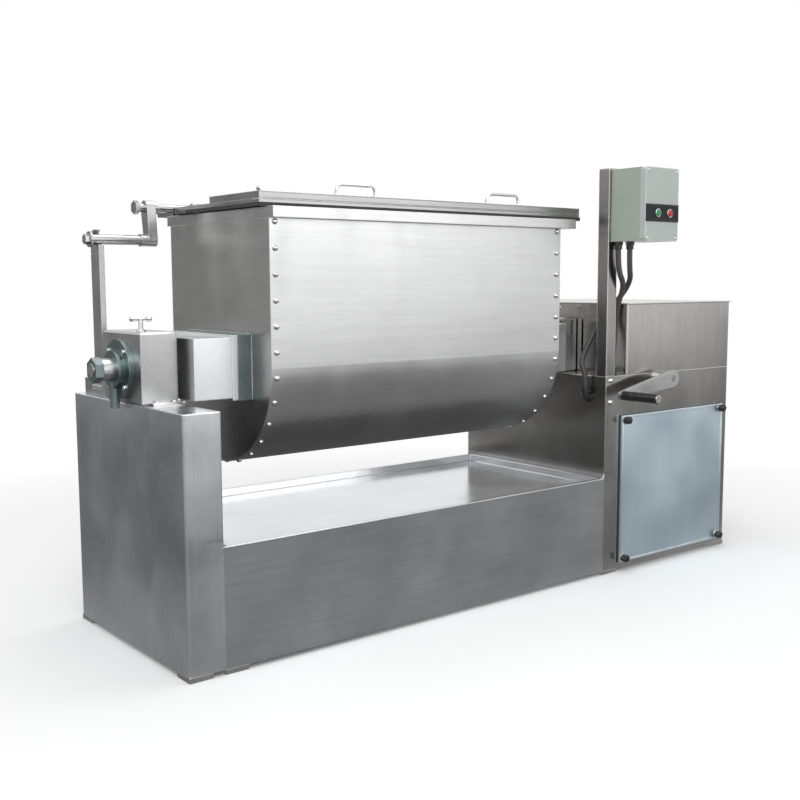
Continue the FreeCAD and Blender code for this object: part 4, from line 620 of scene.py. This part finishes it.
def build_trunnion_beads(shape):
    for node, end, out in (
        ("left_trunnion_box", 1, (-1, 0, 0)), ("drive_trunnion_box", 0, (1, 0, 0))
    ):
        low, high = box_mm(node)
        x = (low, high)[end].x
        outline = ((low.y, low.z), (high.y, low.z), (high.y, high.z), (low.y, high.z))
        corners = [place(x, y, z) for y, z in outline]
        bead_chain(shape, [*corners, corners[0]], out)


def build_post_beads(shape):
    low, high = box_mm("control_post")
    corners = [place(x, y, low.z) for x, y in ((low.x, low.y), (high.x, low.y), (high.x, high.y))]
    bead_chain(shape, corners, (0, 0, 1))


piece("trunnion_weld", build_trunnion_beads, "tank", WELD)
piece("post_weld", build_post_beads, "frame", WELD)

# %% [markdown]
# ## Conduits
# Two flexible conduits leave the bottom of the control box. One runs down beside the post to the
# ledge, the other passes behind the post to an elbow in the pedestal side. A swept mesh would need
# many rings to look round. A NURBS curve with the same points as the solid's route, and a round
# bevel, bends without kinks and keeps the real length.

# %% Conduits
CONDUIT_RADIUS = 0.008
NEAR_ROUTE = [(1412, -15, 979), (1412, -15, 919), (1444, -14, 874), (1446, 14, 814),
              (1445, 20, 709), (1442, 24, 666), (1442, 24, 626)]
FAR_ROUTE = [(1438, -36, 979), (1438, -36, 929), (1468, -18, 884), (1466, 38, 819),
             (1432, 68, 764), (1394, 76, 704), (1366, 85, 644), (1364, 63, 614), (1364, 63, 569)]


def conduit(name, route, node):
    """A round conduit along a route, which stands in for the plain solid."""
    curve = bpy.data.curves.new(name, "CURVE")
    curve.dimensions = "3D"
    curve.bevel_depth = CONDUIT_RADIUS
    curve.bevel_resolution = 6
    curve.resolution_u = 16
    curve.use_fill_caps = True
    line = curve.splines.new("NURBS")
    line.points.add(len(route) - 1)
    for point, at in zip(line.points, route):
        point.co = (*place(*at), 1)
    line.order_u = 3
    line.use_endpoint_u = True
    made = bpy.data.objects.new(name, curve)
    bpy.context.scene.collection.objects.link(made)
    curve.materials.append(CONDUIT_SKIN)
    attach(made, "frame")
    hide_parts(node)


conduit("near_conduit", NEAR_ROUTE, "conduit_near")
conduit("far_conduit", FAR_ROUTE, "conduit_far")

# %% [markdown]
# ## Access cover knobs
# Each corner of the access cover is held by a black star knob on a plated washer. Lobes could be
# cut from a cylinder with booleans. Letting the radius of each ring swing with the angle gives the
# same lobes without a cut, and leaves clean faces.

# %% Star knobs and washers
KNOB_RADIUS = 11
KNOB_LOBES = 6
KNOB_SIDES = 48
KNOB_RINGS = [
    # radius, height, depth of the lobes
    (0.008, 0.0005, 0), (0.0105, 0.003, 0.001), (0.0122, 0.006, 0.0026),
    (0.0122, 0.0145, 0.0026), (0.0105, 0.0185, 0.0018), (0.006, 0.0198, 0.0004),
]
KNOB_WASHER_RINGS = [(0.014, 0.0001), (0.014, 0.0012), (0.0125, 0.0016)]
knob_low, knob_high = box_mm("cover_knobs")
knob_seats = [
    facing((0, -1, 0), place(x, knob_high.y, z))
    for x in (knob_low.x + KNOB_RADIUS, knob_high.x - KNOB_RADIUS)
    for z in (knob_low.z + KNOB_RADIUS, knob_high.z - KNOB_RADIUS)
]


def build_star_knobs(shape):
    for seat in knob_seats:
        skin(shape, [
            ring(shape, seat, radius, height, KNOB_SIDES, KNOB_LOBES, depth)
            for radius, height, depth in KNOB_RINGS
        ])


def build_knob_washers(shape):
    for seat in knob_seats:
        turned_profile(shape, KNOB_WASHER_RINGS, seat, sides=28)


star_knobs = piece("star_knobs", build_star_knobs, "frame", BLACK_PLASTIC)
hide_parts("cover_knobs")
piece("knob_washers", build_knob_washers, "frame", BRIGHT)

# %% [markdown]
# ## Access cover edge
# The cover is a tray of sheet: its bright fold stands round the edge, on a thin black gasket. Both
# are frames, so one helper lays four strips round a rectangle. A solidified outline would do it
# too, but its corners would need care where the strips meet.

# %% Strips round a rectangle
BOX_FACES = (
    (0, 2, 3, 1), (4, 5, 7, 6), (0, 1, 5, 4), (2, 6, 7, 3), (0, 4, 6, 2), (1, 3, 7, 5)
)


def slab(shape, low, high):
    """A box between two corners in metres."""
    corners = [
        shape.verts.new(Vector((x, y, z)))
        for z in (low.z, high.z)
        for y in (low.y, high.y)
        for x in (low.x, high.x)
    ]
    for quad in BOX_FACES:
        shape.faces.new([corners[k] for k in quad])


def frame_strip(shape, low, high, width, near, far):
    """Four strips round a rectangle in the XZ plane, between two depths along Y."""
    inner_low, inner_high = low.z + width, high.z - width
    for x0, x1, z0, z1 in (
        (low.x, high.x, low.z, inner_low),
        (low.x, high.x, inner_high, high.z),
        (low.x, low.x + width, inner_low, inner_high),
        (high.x - width, high.x, inner_low, inner_high),
    ):
        slab(shape, place(x0, near, z0), place(x1, far, z1))


def shrunk(corners, by_x, by_z):
    """A box's corners moved inwards along X and Z, or outwards by negative numbers."""
    step = Vector((by_x, 0, by_z))
    return corners[0] + step, corners[1] - step


print("strips round a rectangle ready")

# %% Cover gasket and fold
cover_box = box_mm("access_cover")
COVER_GASKET_GROW = 1.6
COVER_GASKET_WIDTH = 1.4
COVER_GASKET_FRONT, COVER_GASKET_BACK = -3.2, -0.1
FOLD_WIDTH = 7.0
FOLD_GAUGE = 1.1


def build_cover_gasket(shape):
    low, high = shrunk(cover_box, -COVER_GASKET_GROW, -COVER_GASKET_GROW)
    frame_strip(shape, low, high, COVER_GASKET_WIDTH, COVER_GASKET_FRONT, COVER_GASKET_BACK)


def build_cover_fold(shape):
    front = cover_box[0].y
    frame_strip(shape, *cover_box, FOLD_WIDTH, front - FOLD_GAUGE, front)


piece("cover_gasket", build_cover_gasket, "frame", GASKET_AND_GAP_SHADE, smooth=False)
piece("cover_fold", build_cover_fold, "frame", COVER_SHEET, bevel=0.0005)

# %% [markdown]
# ## Control box
# A die cast box with a pale cover. Across the cover runs a dark window with a raised bezel; the
# cover stands on a gasket and is held by corner screws, and each button has a collar. Cutting them
# into the solids would make heavy solids of thin trim, so they are meshes that sit on the box. The
# window and the cover stay bare.

# %% Cover screws
COVER_SCREW_INSET = 9
COVER_SCREW_RINGS = [
    (0.0044, -0.0002), (0.0044, 0.0008), (0.0034, 0.0015), (0.0016, 0.0015), (0.0014, 0.0006)
]
enclosure = box_mm("control_box_cover")


def build_cover_screws(shape):
    low, high = enclosure
    for x in (low.x + COVER_SCREW_INSET, high.x - COVER_SCREW_INSET):
        for z in (low.z + COVER_SCREW_INSET, high.z - COVER_SCREW_INSET):
            matrix = facing((0, -1, 0), place(x, low.y, z))
            turned_profile(shape, COVER_SCREW_RINGS, matrix, sides=18)


piece("cover_screws", build_cover_screws, "frame", BRIGHT)

# %% Window bezel and box gasket
BEZEL_WIDTH = 2.2
BEZEL_INSET = (4, 3)
BEZEL_HEIGHT = 1.2
BEZEL_SINK = 0.2
BOX_GASKET_WIDTH = 5.0
BOX_GASKET_INSET = (1.5, 1.5)
BOX_GASKET_FRONT, BOX_GASKET_BACK = 1.4, 1.2
window = box_mm("keypad_strip")


def build_window_bezel(shape):
    low, high = shrunk(window, *BEZEL_INSET)
    frame_strip(shape, low, high, BEZEL_WIDTH, low.y - BEZEL_HEIGHT, low.y + BEZEL_SINK)


def build_box_gasket(shape):
    low, high = shrunk(enclosure, *BOX_GASKET_INSET)
    frame_strip(
        shape, low, high, BOX_GASKET_WIDTH, high.y - BOX_GASKET_FRONT, high.y + BOX_GASKET_BACK
    )


piece("window_bezel", build_window_bezel, "frame", BLACK_PLASTIC, bevel=0.0004)
piece("box_gasket", build_box_gasket, "frame", GASKET_AND_GAP_SHADE, smooth=False)

# %% Button collars
BUTTON_COLLAR_RINGS = [
    (0.0124, 0.0), (0.0124, 0.0018), (0.0115, 0.0026), (0.0102, 0.0026), (0.0099, 0.001)
]


def build_button_collars(shape):
    for node in ("start_button", "stop_button"):
        low, high = box_mm(node)
        centre = (low + high) / 2
        matrix = facing((0, -1, 0), place(centre.x, window[0].y, centre.z))
        turned_profile(shape, BUTTON_COLLAR_RINGS, matrix, sides=32)


piece("button_collars", build_button_collars, "frame", BRIGHT)

# %% [markdown]
# ## Bolts of the bearing cover
# The round cover on the left bearing is held by four hexagon bolts with washers. A bolt could be
# copied from a library, but the turned profile with six sides already is a bolt head, and with
# many sides it is the washer.

# %% Cover bolts
HEX_RINGS = [(0.0066, 0.0), (0.0066, 0.0038), (0.0058, 0.0046)]
WASHER_RINGS = [(0.0088, 0.0), (0.0088, 0.0012), (0.0082, 0.0016)]
ON_WASHER = Vector((-0.0016, 0, 0))
AXIS_Y, AXIS_Z = 303, 685
BOLT_FACE_X = -12
BOLT_CIRCLE = 59
BOLT_COUNT = 4


def build_cover_bolts(shape):
    for k in range(BOLT_COUNT):
        angle = math.radians(45 + 360 / BOLT_COUNT * k)
        y = AXIS_Y + BOLT_CIRCLE * math.cos(angle)
        z = AXIS_Z + BOLT_CIRCLE * math.sin(angle)
        centre = place(BOLT_FACE_X, y, z)
        turned_profile(shape, WASHER_RINGS, facing((-1, 0, 0), centre), sides=20)
        turned_profile(shape, HEX_RINGS, facing((-1, 0, 0), centre + ON_WASHER), sides=6)


piece("cover_bolts", build_cover_bolts, "frame", BRIGHT)

# %% [markdown]
# ## Crank grip
# The grip ends in a pale cap and carries three rings that stop the hand from sliding. Grooves
# would have to be cut into the solid; rings laid round it show the same lines and ride with it.

# %% Grip cap and rings
GRIP_CAP_RINGS = [(0.0105, 0.0), (0.0105, 0.0016), (0.0085, 0.0032), (0.002, 0.0038)]
GRIP_RING_RINGS = [(0.0136, 0.0), (0.0146, 0.001), (0.0146, 0.003), (0.0136, 0.004)]
GRIP_RING_FIRST = 34
GRIP_RING_STEP = 27
grip_low, grip_high = box_mm("crank_grip")
grip_middle = (grip_low + grip_high) / 2


def on_grip(y):
    """A seat on the grip's axis that faces the front."""
    return facing((0, -1, 0), place(grip_middle.x, y, grip_middle.z))


def build_grip_cap(shape):
    turned_profile(shape, GRIP_CAP_RINGS, on_grip(grip_low.y), sides=28)


def build_grip_rings(shape):
    for k in range(3):
        y = grip_low.y + GRIP_RING_FIRST + GRIP_RING_STEP * k
        turned_profile(shape, GRIP_RING_RINGS, on_grip(y), sides=32)


piece("grip_cap", build_grip_cap, "grip", BRIGHT)
piece("grip_rings", build_grip_rings, "grip", BLACK_PLASTIC)

# %% [markdown]
# ## Collars on the trunnion boxes
# A welded collar joins each trunnion box to the trough. It is darker than the box as painted
# shade on its face, made in the blued steel. It wraps a square box, so four slabs round it, a
# little proud of the sheet, follow the box's own size. Scaling a copy of the box would thicken it
# by a share and not by a gauge.

# %% Trunnion collars
COLLAR_GROW = 1.6
COLLAR_GAUGE = 3


def build_trunnion_collars(shape):
    for node, x0, x1 in (
        ("left_trunnion_box", 222, 258.5), ("drive_trunnion_box", 1239.5, 1276),
    ):
        low, high = box_mm(node)
        y0, y1 = low.y - COLLAR_GROW, high.y + COLLAR_GROW
        z0, z1 = low.z - COLLAR_GROW, high.z + COLLAR_GROW
        gauge = COLLAR_GAUGE
        slab(shape, place(x0, y0, z0), place(x1, y0 + gauge, z1))
        slab(shape, place(x0, y1 - gauge, z0), place(x1, y1, z1))
        slab(shape, place(x0, y0 + gauge, z1 - gauge), place(x1, y1 - gauge, z1))
        slab(shape, place(x0, y0 + gauge, z0), place(x1, y1 - gauge, z0 + gauge))


# Painted shade: the dark blued steel makes the collars' faces darker than the bright boxes.
piece(
    "trunnion_collars", build_trunnion_collars, "tank", TEAL_STEEL_AND_SHADE, bevel=0.0006
)

# %% [markdown]
# ## Bright strip at the foot of the left bearing
# A bright plated strip with two bolts lies at the foot of the bearing block: a painted highlight
# where the top of the pedestal catches the light in front of the block. It could be cut from one
# outline with its holes, but the bolt heads cover the holes, so one slab and two turned heads are
# enough. It rides the frame as the block does.

# %% Foot strip, a painted highlight
STRIP_X = (22, 103)
STRIP_WIDTH = 15
STRIP_HEIGHT = 7
STRIP_BOLTS_X = (34, 78)
STRIP_BOLT_RINGS = [(0.0048, 0.0), (0.0048, 0.0026), (0.0036, 0.0036)]


# Painted highlight: a polished strip on the lit top of the pedestal, at the block's foot.
def build_foot_highlight(shape):
    low, _ = box_mm("left_bearing_block")
    top = low.z + STRIP_HEIGHT
    slab(shape, place(STRIP_X[0], low.y - STRIP_WIDTH, low.z), place(STRIP_X[1], low.y, top))
    for x in STRIP_BOLTS_X:
        matrix = facing((0, 0, 1), place(x, low.y - STRIP_WIDTH / 2, top))
        turned_profile(shape, STRIP_BOLT_RINGS, matrix, sides=16)


piece("block_foot_highlight", build_foot_highlight, "frame", BRIGHT, bevel=0.0008)

# %% [markdown]
# ## T screws
# A T screw on each bearing block presses the bush: a stem with a collar, and a cross bar with
# rounded ends. The bar could be a capsule, but the real one is thinner in its middle. Half of its
# profile is written down and mirrored, so both ends are the same.

# %% T screws
T_SCREW_PLACES = [(24, 246, 774), (1414, 246, 774)]
T_BAR_LIFT = 30
T_BAR_DIRECTION = (0.85, -0.5, 0)
STEM_RINGS = [(0.0105, 0.0), (0.0105, 0.004), (0.0085, 0.0055), (0.0055, 0.006), (0.0055, 0.03)]
BAR_END = [(0.0048, 0.01), (0.0062, 0.016), (0.007, 0.021), (0.0055, 0.0245), (0.002, 0.026)]
BAR_RINGS = [(radius, -height) for radius, height in reversed(BAR_END)] + BAR_END


def build_t_screws(shape):
    for x, y, z in T_SCREW_PLACES:
        turned_profile(shape, STEM_RINGS, facing((0, 0, 1), place(x, y, z)))
        turned_profile(shape, BAR_RINGS, facing(T_BAR_DIRECTION, place(x, y, z + T_BAR_LIFT)))


t_screws = piece("t_screws", build_t_screws, "frame", BRIGHT)
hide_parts("wing_screws")

# %% [markdown]
# ## Rounded inner corners of the base
# Where the front of the tray meets the pedestals, the sheet is cut with a round inner corner. A
# bevel on the solids can't reach an edge where two pieces meet. Two small webs in the plane of the
# front sheet make the round, each a square with an arc cut from it.

# %% Corner webs
tray_top = box_mm("drip_tray")[1].z
WEB_DEPTHS = (0.1, 3)
CORNER_ROUND = 18
CORNER_STEPS = 8


def corner_web(shape, edge_x, side):
    """A sheet web with a hollow arc; side is 1 where the pedestal is on the left, else -1."""
    centre_x = edge_x + side * CORNER_ROUND
    outline = [(edge_x, tray_top)]
    for k in range(CORNER_STEPS + 1):
        angle = math.radians(90 * k / CORNER_STEPS)
        outline.append((centre_x - side * CORNER_ROUND * math.sin(angle),
                        tray_top + CORNER_ROUND * (1 - math.cos(angle))))
    skin(shape, [[shape.verts.new(place(x, y, z)) for x, z in outline] for y in WEB_DEPTHS])


def build_corner_webs(shape):
    corner_web(shape, box_mm("left_pedestal")[1].x, 1)
    corner_web(shape, box_mm("drive_pedestal")[0].x, -1)


piece("corner_webs", build_corner_webs, "frame", LEFT_SHEET, smooth=False)

# %% [markdown]
# ## Corner clip of the flap
# A small bent clip stands at the front left corner of the flap. A flat strip with a bend modifier
# would thin out where it turns. Built from cross sections along its line, the strip keeps its
# thickness.

# %% Corner clip
CLIP_REACH = 34
CLIP_TURN_AT = 8
CLIP_LIFT = 1.3
CLIP_RADIUS = 5
CLIP_STEPS = 6
CLIP_FROM_FRONT = 9
flap_low, flap_high = box_mm("feed_flap")


def strip_along(shape, points, width, thickness):
    """A bent strip of sheet through points, with its width along Y."""
    across = Vector((0, 1, 0))
    loops = []
    for k, point in enumerate(points):
        before = points[max(0, k - 1)]
        after = points[min(len(points) - 1, k + 1)]
        out = (after - before).normalized().cross(across).normalized()
        loops.append([
            shape.verts.new(point + across * sy * width / 2 + out * sz * thickness / 2)
            for sy, sz in ((-1, -1), (1, -1), (1, 1), (-1, 1))
        ])
    skin(shape, loops)


def build_corner_clip(shape):
    x, y, base = flap_low.x, flap_low.y + CLIP_FROM_FRONT, flap_high.z + CLIP_LIFT
    turn_x = x + CLIP_TURN_AT
    points = [place(x + CLIP_REACH, y, base), place(turn_x, y, base)]
    for k in range(1, CLIP_STEPS + 1):
        angle = math.radians(180 * k / CLIP_STEPS)
        points.append(place(turn_x - CLIP_RADIUS * math.sin(angle), y,
                            base + CLIP_RADIUS * (1 - math.cos(angle))))
    strip_along(shape, points, 0.016, 0.0022)


piece("corner_clip", build_corner_clip, "flap", BRIGHT, bevel=0.0004)

# %% [markdown]
# ## Painted shade under the lid
# A black strip runs under the front and end folds of the lid: painted shade, for the dark gap
# between the lid and the rim. A swept section would follow any outline, but this one is straight,
# so three slabs with soft edges are enough.

# %% Painted shade under the lid
LID_SHADE_WIDTH = 2.5
LID_SHADE_DROP = 1.4
LID_SHADE_RISE = 8.5
LID_SHADE_FROM_BACK = 60
lid_low, lid_high = box_mm("lid_panel")


# Painted shade: black slabs along the gap between the lid's folds and the rim.
def build_lid_gap_shade(shape):
    left, right = lid_low.x - LID_SHADE_WIDTH, lid_high.x + LID_SHADE_WIDTH
    front, back = lid_low.y - LID_SHADE_WIDTH, lid_high.y - LID_SHADE_FROM_BACK
    low, high = lid_low.z - LID_SHADE_DROP, lid_low.z + LID_SHADE_RISE
    slab(shape, place(left, front, low), place(right, lid_low.y, high))
    slab(shape, place(left, lid_low.y, low), place(lid_low.x, back, high))
    slab(shape, place(lid_high.x, lid_low.y, low), place(right, back, high))


piece("lid_gap_shade", build_lid_gap_shade, "lid", GASKET_AND_GAP_SHADE, bevel=0.0008)

# %% [markdown]
# ## Floor
# The photograph is a studio shot on white. A shadow catcher would drop the soft bounce from the
# floor, so a real pale floor carries the shadow. Away from the object it turns into the white of
# the background. Floor and reflection cards are flat cards of the same kind: an inner field and a
# rim, with a value called presence that falls from one in the field to nothing at the edge.

# %% A flat card
SOFT_SHARE = 0.72


def flat_card(name, centre, across, upward, colour):
    """A card with an inner field and a rim, so that its grey can fade out towards the edge."""
    mesh = bpy.data.meshes.new(name)
    corners = [
        centre + share * (right * across + up * upward)
        for share in (1, SOFT_SHARE)
        for right, up in ((-1, -1), (1, -1), (1, 1), (-1, 1))
    ]
    rim = [(k, (k + 1) % 4, 4 + (k + 1) % 4, 4 + k) for k in range(4)]
    mesh.from_pydata(corners, [], [(4, 5, 6, 7), *rim])
    presence = mesh.attributes.new("presence", "FLOAT", "POINT")
    presence.data.foreach_set("value", [0.0] * 4 + [1.0] * 4)
    made = bpy.data.objects.new(name, mesh)
    bpy.context.scene.collection.objects.link(made)
    material = bpy.data.materials.new(name)
    material.use_nodes = True
    shader = material.node_tree.nodes["Principled BSDF"]
    shader.inputs["Base Color"].default_value = (*colour, 1)
    shader.inputs["Roughness"].default_value = 0.9
    mesh.materials.append(material)
    return made, material


print("share of a card that is even:", SOFT_SHARE)

# %% Studio floor
FLOOR_SIZE = 14
FLOOR_GREY = 0.93
FADE_CENTRE = (0.97, 0.27, 0)
FADE_NEAR, FADE_FAR = 1.2, 2.6


def fade_to_white(material):
    """Away from the object the floor becomes the white of the background."""
    tree = material.node_tree
    where = add(tree, "ShaderNodeNewGeometry")
    flat = add(tree, "ShaderNodeVectorMath", operation="DISTANCE")
    flat.inputs[1].default_value = FADE_CENTRE
    fade = add(tree, "ShaderNodeMapRange", from_min=FADE_NEAR, from_max=FADE_FAR)
    white = add(tree, "ShaderNodeEmission", color=(1, 1, 1, 1), strength=1.0)
    blend = add(tree, "ShaderNodeMixShader")
    join(tree, where.outputs["Position"], flat.inputs[0])
    join(tree, flat.outputs["Value"], fade.inputs["Value"])
    join(tree, fade.outputs["Result"], blend.inputs["Fac"])
    join(tree, tree.nodes["Principled BSDF"].outputs[0], blend.inputs[1])
    join(tree, white.outputs[0], blend.inputs[2])
    join(tree, blend.outputs[0], tree.nodes["Material Output"].inputs["Surface"])


floor, floor_material = flat_card(
    "studio_floor", Vector((1, 0, -0.0005)), Vector((FLOOR_SIZE, 0, 0)),
    Vector((0, FLOOR_SIZE, 0)), (FLOOR_GREY,) * 3,
)
floor.visible_glossy = False
fade_to_white(floor_material)
print("floor fades out from", FADE_NEAR, "to", FADE_FAR, "m")

# %% [markdown]
# ## Reflection cards
# Brushed steel is drawn by what it mirrors. The studio had a dim floor in front, dim walls and one
# bright area, and small gaps between parts stayed dark. A full room could be built round the
# object, but it would also change the light. Cards that only reflections see stand for it, and
# their grey fades out in a soft rim so that no hard edge shows in the steel. The card over the
# drip tray works on its upper side only: it darkens the trough's underside and the tray doesn't
# mirror it.

# %% What a card shows
def glowing(material, level, front_only):
    """Makes a card show one even grey that fades out in its rim, and on its back if asked."""
    tree = material.node_tree
    glow = add(tree, "ShaderNodeEmission", color=(level, level, level, 1), strength=1.0)
    presence = add(tree, "ShaderNodeAttribute", attribute_name="presence")
    smooth = add(tree, "ShaderNodeMapRange", interpolation_type="SMOOTHSTEP")
    clear = add(tree, "ShaderNodeBsdfTransparent")
    blend = add(tree, "ShaderNodeMixShader")
    join(tree, presence.outputs["Fac"], smooth.inputs["Value"])
    shown = smooth.outputs["Result"]
    if front_only:
        sides = add(tree, "ShaderNodeNewGeometry")
        front = add(tree, "ShaderNodeMath", operation="SUBTRACT", use_clamp=True)
        join(tree, shown, front.inputs[0])
        join(tree, sides.outputs["Backfacing"], front.inputs[1])
        shown = front.outputs[0]
    join(tree, shown, blend.inputs["Fac"])
    join(tree, clear.outputs[0], blend.inputs[1])
    join(tree, glow.outputs[0], blend.inputs[2])
    join(tree, blend.outputs[0], tree.nodes["Material Output"].inputs["Surface"])


def seen_by_reflections_only(card):
    """Hides a card from the camera, from diffuse light and from shadows."""
    card.visible_camera = False
    card.visible_diffuse = False
    card.visible_transmission = False
    card.visible_shadow = False


print("cards fade with presence")

# %% The cards
CARDS = [
    # name, centre, half across, half upward, grey level
    ("front_floor_card", (3.4, -2.6, -0.004), (6.4, -1.2, 0), (0, 2.8, 0), 0.25),
    ("left_floor_card", (-4.2, 0.6, -0.005), (5.2, 0, 0), (0, 5.6, 0), 0.15),
    ("far_right_card", (9.5, -4.6, 0.2), (2.0, -2.0, 0), (0, 0, 0.62), 0.1),
    ("back_left_card", (-3.2, 5.4, 0.7), (4.6, 0, 0), (0, 0, 1.6), 0.29),
    ("bright_card", (3.0, -4.4, 2.0), (2.1, 0.35, 0), (0, 0, 1.5), 2.2),
    ("tray_shade_card", (0.71, 0.273, 0.31), (0.74, 0, 0), (0, 0.36, 0), 0.09),
    ("gap_card", (0.066, 0.273, 0.453), (0, 0.33, 0), (0, 0, 0.18), 0.02),
    ("block_gap_card", (0.0635, 0.273, 0.689), (0, 0.12, 0), (0, 0, 0.1), 0.02),
]
for name, centre, across, upward, level in CARDS:
    card, card_material = flat_card(
        name, Vector(centre), Vector(across), Vector(upward), (level,) * 3
    )
    glowing(card_material, level, front_only=name == "tray_shade_card")
    seen_by_reflections_only(card)
print("reflection cards:", len(CARDS))

# %% [markdown]
# ## Lamps and backdrop
# Two broad soft lamps light the studio from the front left and from above. Small lamps would give
# hard shadows that the photograph doesn't have. The backdrop is pure white to the camera and to
# reflections, and weaker as a light. Light Path tells the two apart, which a plain backdrop can't.

# %% Lamps
def soft_lamp(name, at, target, size, power):
    """A broad lamp at a place in metres that looks at its target."""
    lamp = bpy.data.lights.new(name, "AREA")
    lamp.shape = "RECTANGLE"
    lamp.size, lamp.size_y = size
    lamp.energy = power
    made = bpy.data.objects.new(name, lamp)
    made.location = at
    made.rotation_euler = (Vector(target) - Vector(at)).to_track_quat("-Z", "Y").to_euler()
    bpy.context.scene.collection.objects.link(made)


soft_lamp("key lamp", (-1.4, -2.6, 3.2), (0.9, 0.2, 0.6), (2.6, 2.0), 60)
soft_lamp("top lamp", (1.1, 0.2, 3.4), (1.1, 0.2, 0.6), (3.0, 2.0), 45)

# %% Backdrop
SKY_FOR_LIGHT = 0.62
SKY_FOR_EYE = 1.0
world = bpy.data.worlds.new("white studio")
bpy.context.scene.world = world
world.use_nodes = True
tree = world.node_tree
for old in list(tree.nodes):
    tree.nodes.remove(old)
path = add(tree, "ShaderNodeLightPath")
seen = add(tree, "ShaderNodeMath", operation="ADD", use_clamp=True)
seen_too = add(tree, "ShaderNodeMath", operation="ADD", use_clamp=True)
strength = add(tree, "ShaderNodeMix", data_type="FLOAT", a=SKY_FOR_LIGHT, b=SKY_FOR_EYE)
sky = add(tree, "ShaderNodeBackground", color=(1, 1, 1, 1))
out = add(tree, "ShaderNodeOutputWorld")
join(tree, path.outputs["Is Camera Ray"], seen.inputs[0])
join(tree, path.outputs["Is Glossy Ray"], seen.inputs[1])
join(tree, seen.outputs[0], seen_too.inputs[0])
join(tree, path.outputs["Is Transmission Ray"], seen_too.inputs[1])
join(tree, seen_too.outputs[0], strength.inputs["Factor"])
join(tree, strength.outputs["Result"], sky.inputs["Strength"])
join(tree, sky.outputs[0], out.inputs["Surface"])
print("backdrop strength for the eye", SKY_FOR_EYE, "and for light", SKY_FOR_LIGHT)

# %% [markdown]
# ## Camera
# The camera stands where the photograph was taken, in front of the left end at about eye height of
# a person who bends a little. It could be placed by eye, but a few degrees off would shift every
# edge, so its place and lens were fitted to the corners of the base.

# %% Camera
camera = bpy.data.objects.new("camera", bpy.data.cameras.new("camera"))
bpy.context.scene.collection.objects.link(camera)
camera.location = (-1.075713, -2.090908, 0.891141)
camera.rotation_euler = [math.radians(a) for a in (83.53757685, 0.21299161, -38.64973085)]
camera.data.sensor_width = 36
camera.data.lens = 47.554
bpy.context.scene.camera = camera
print("lens", round(camera.data.lens, 1), "mm")
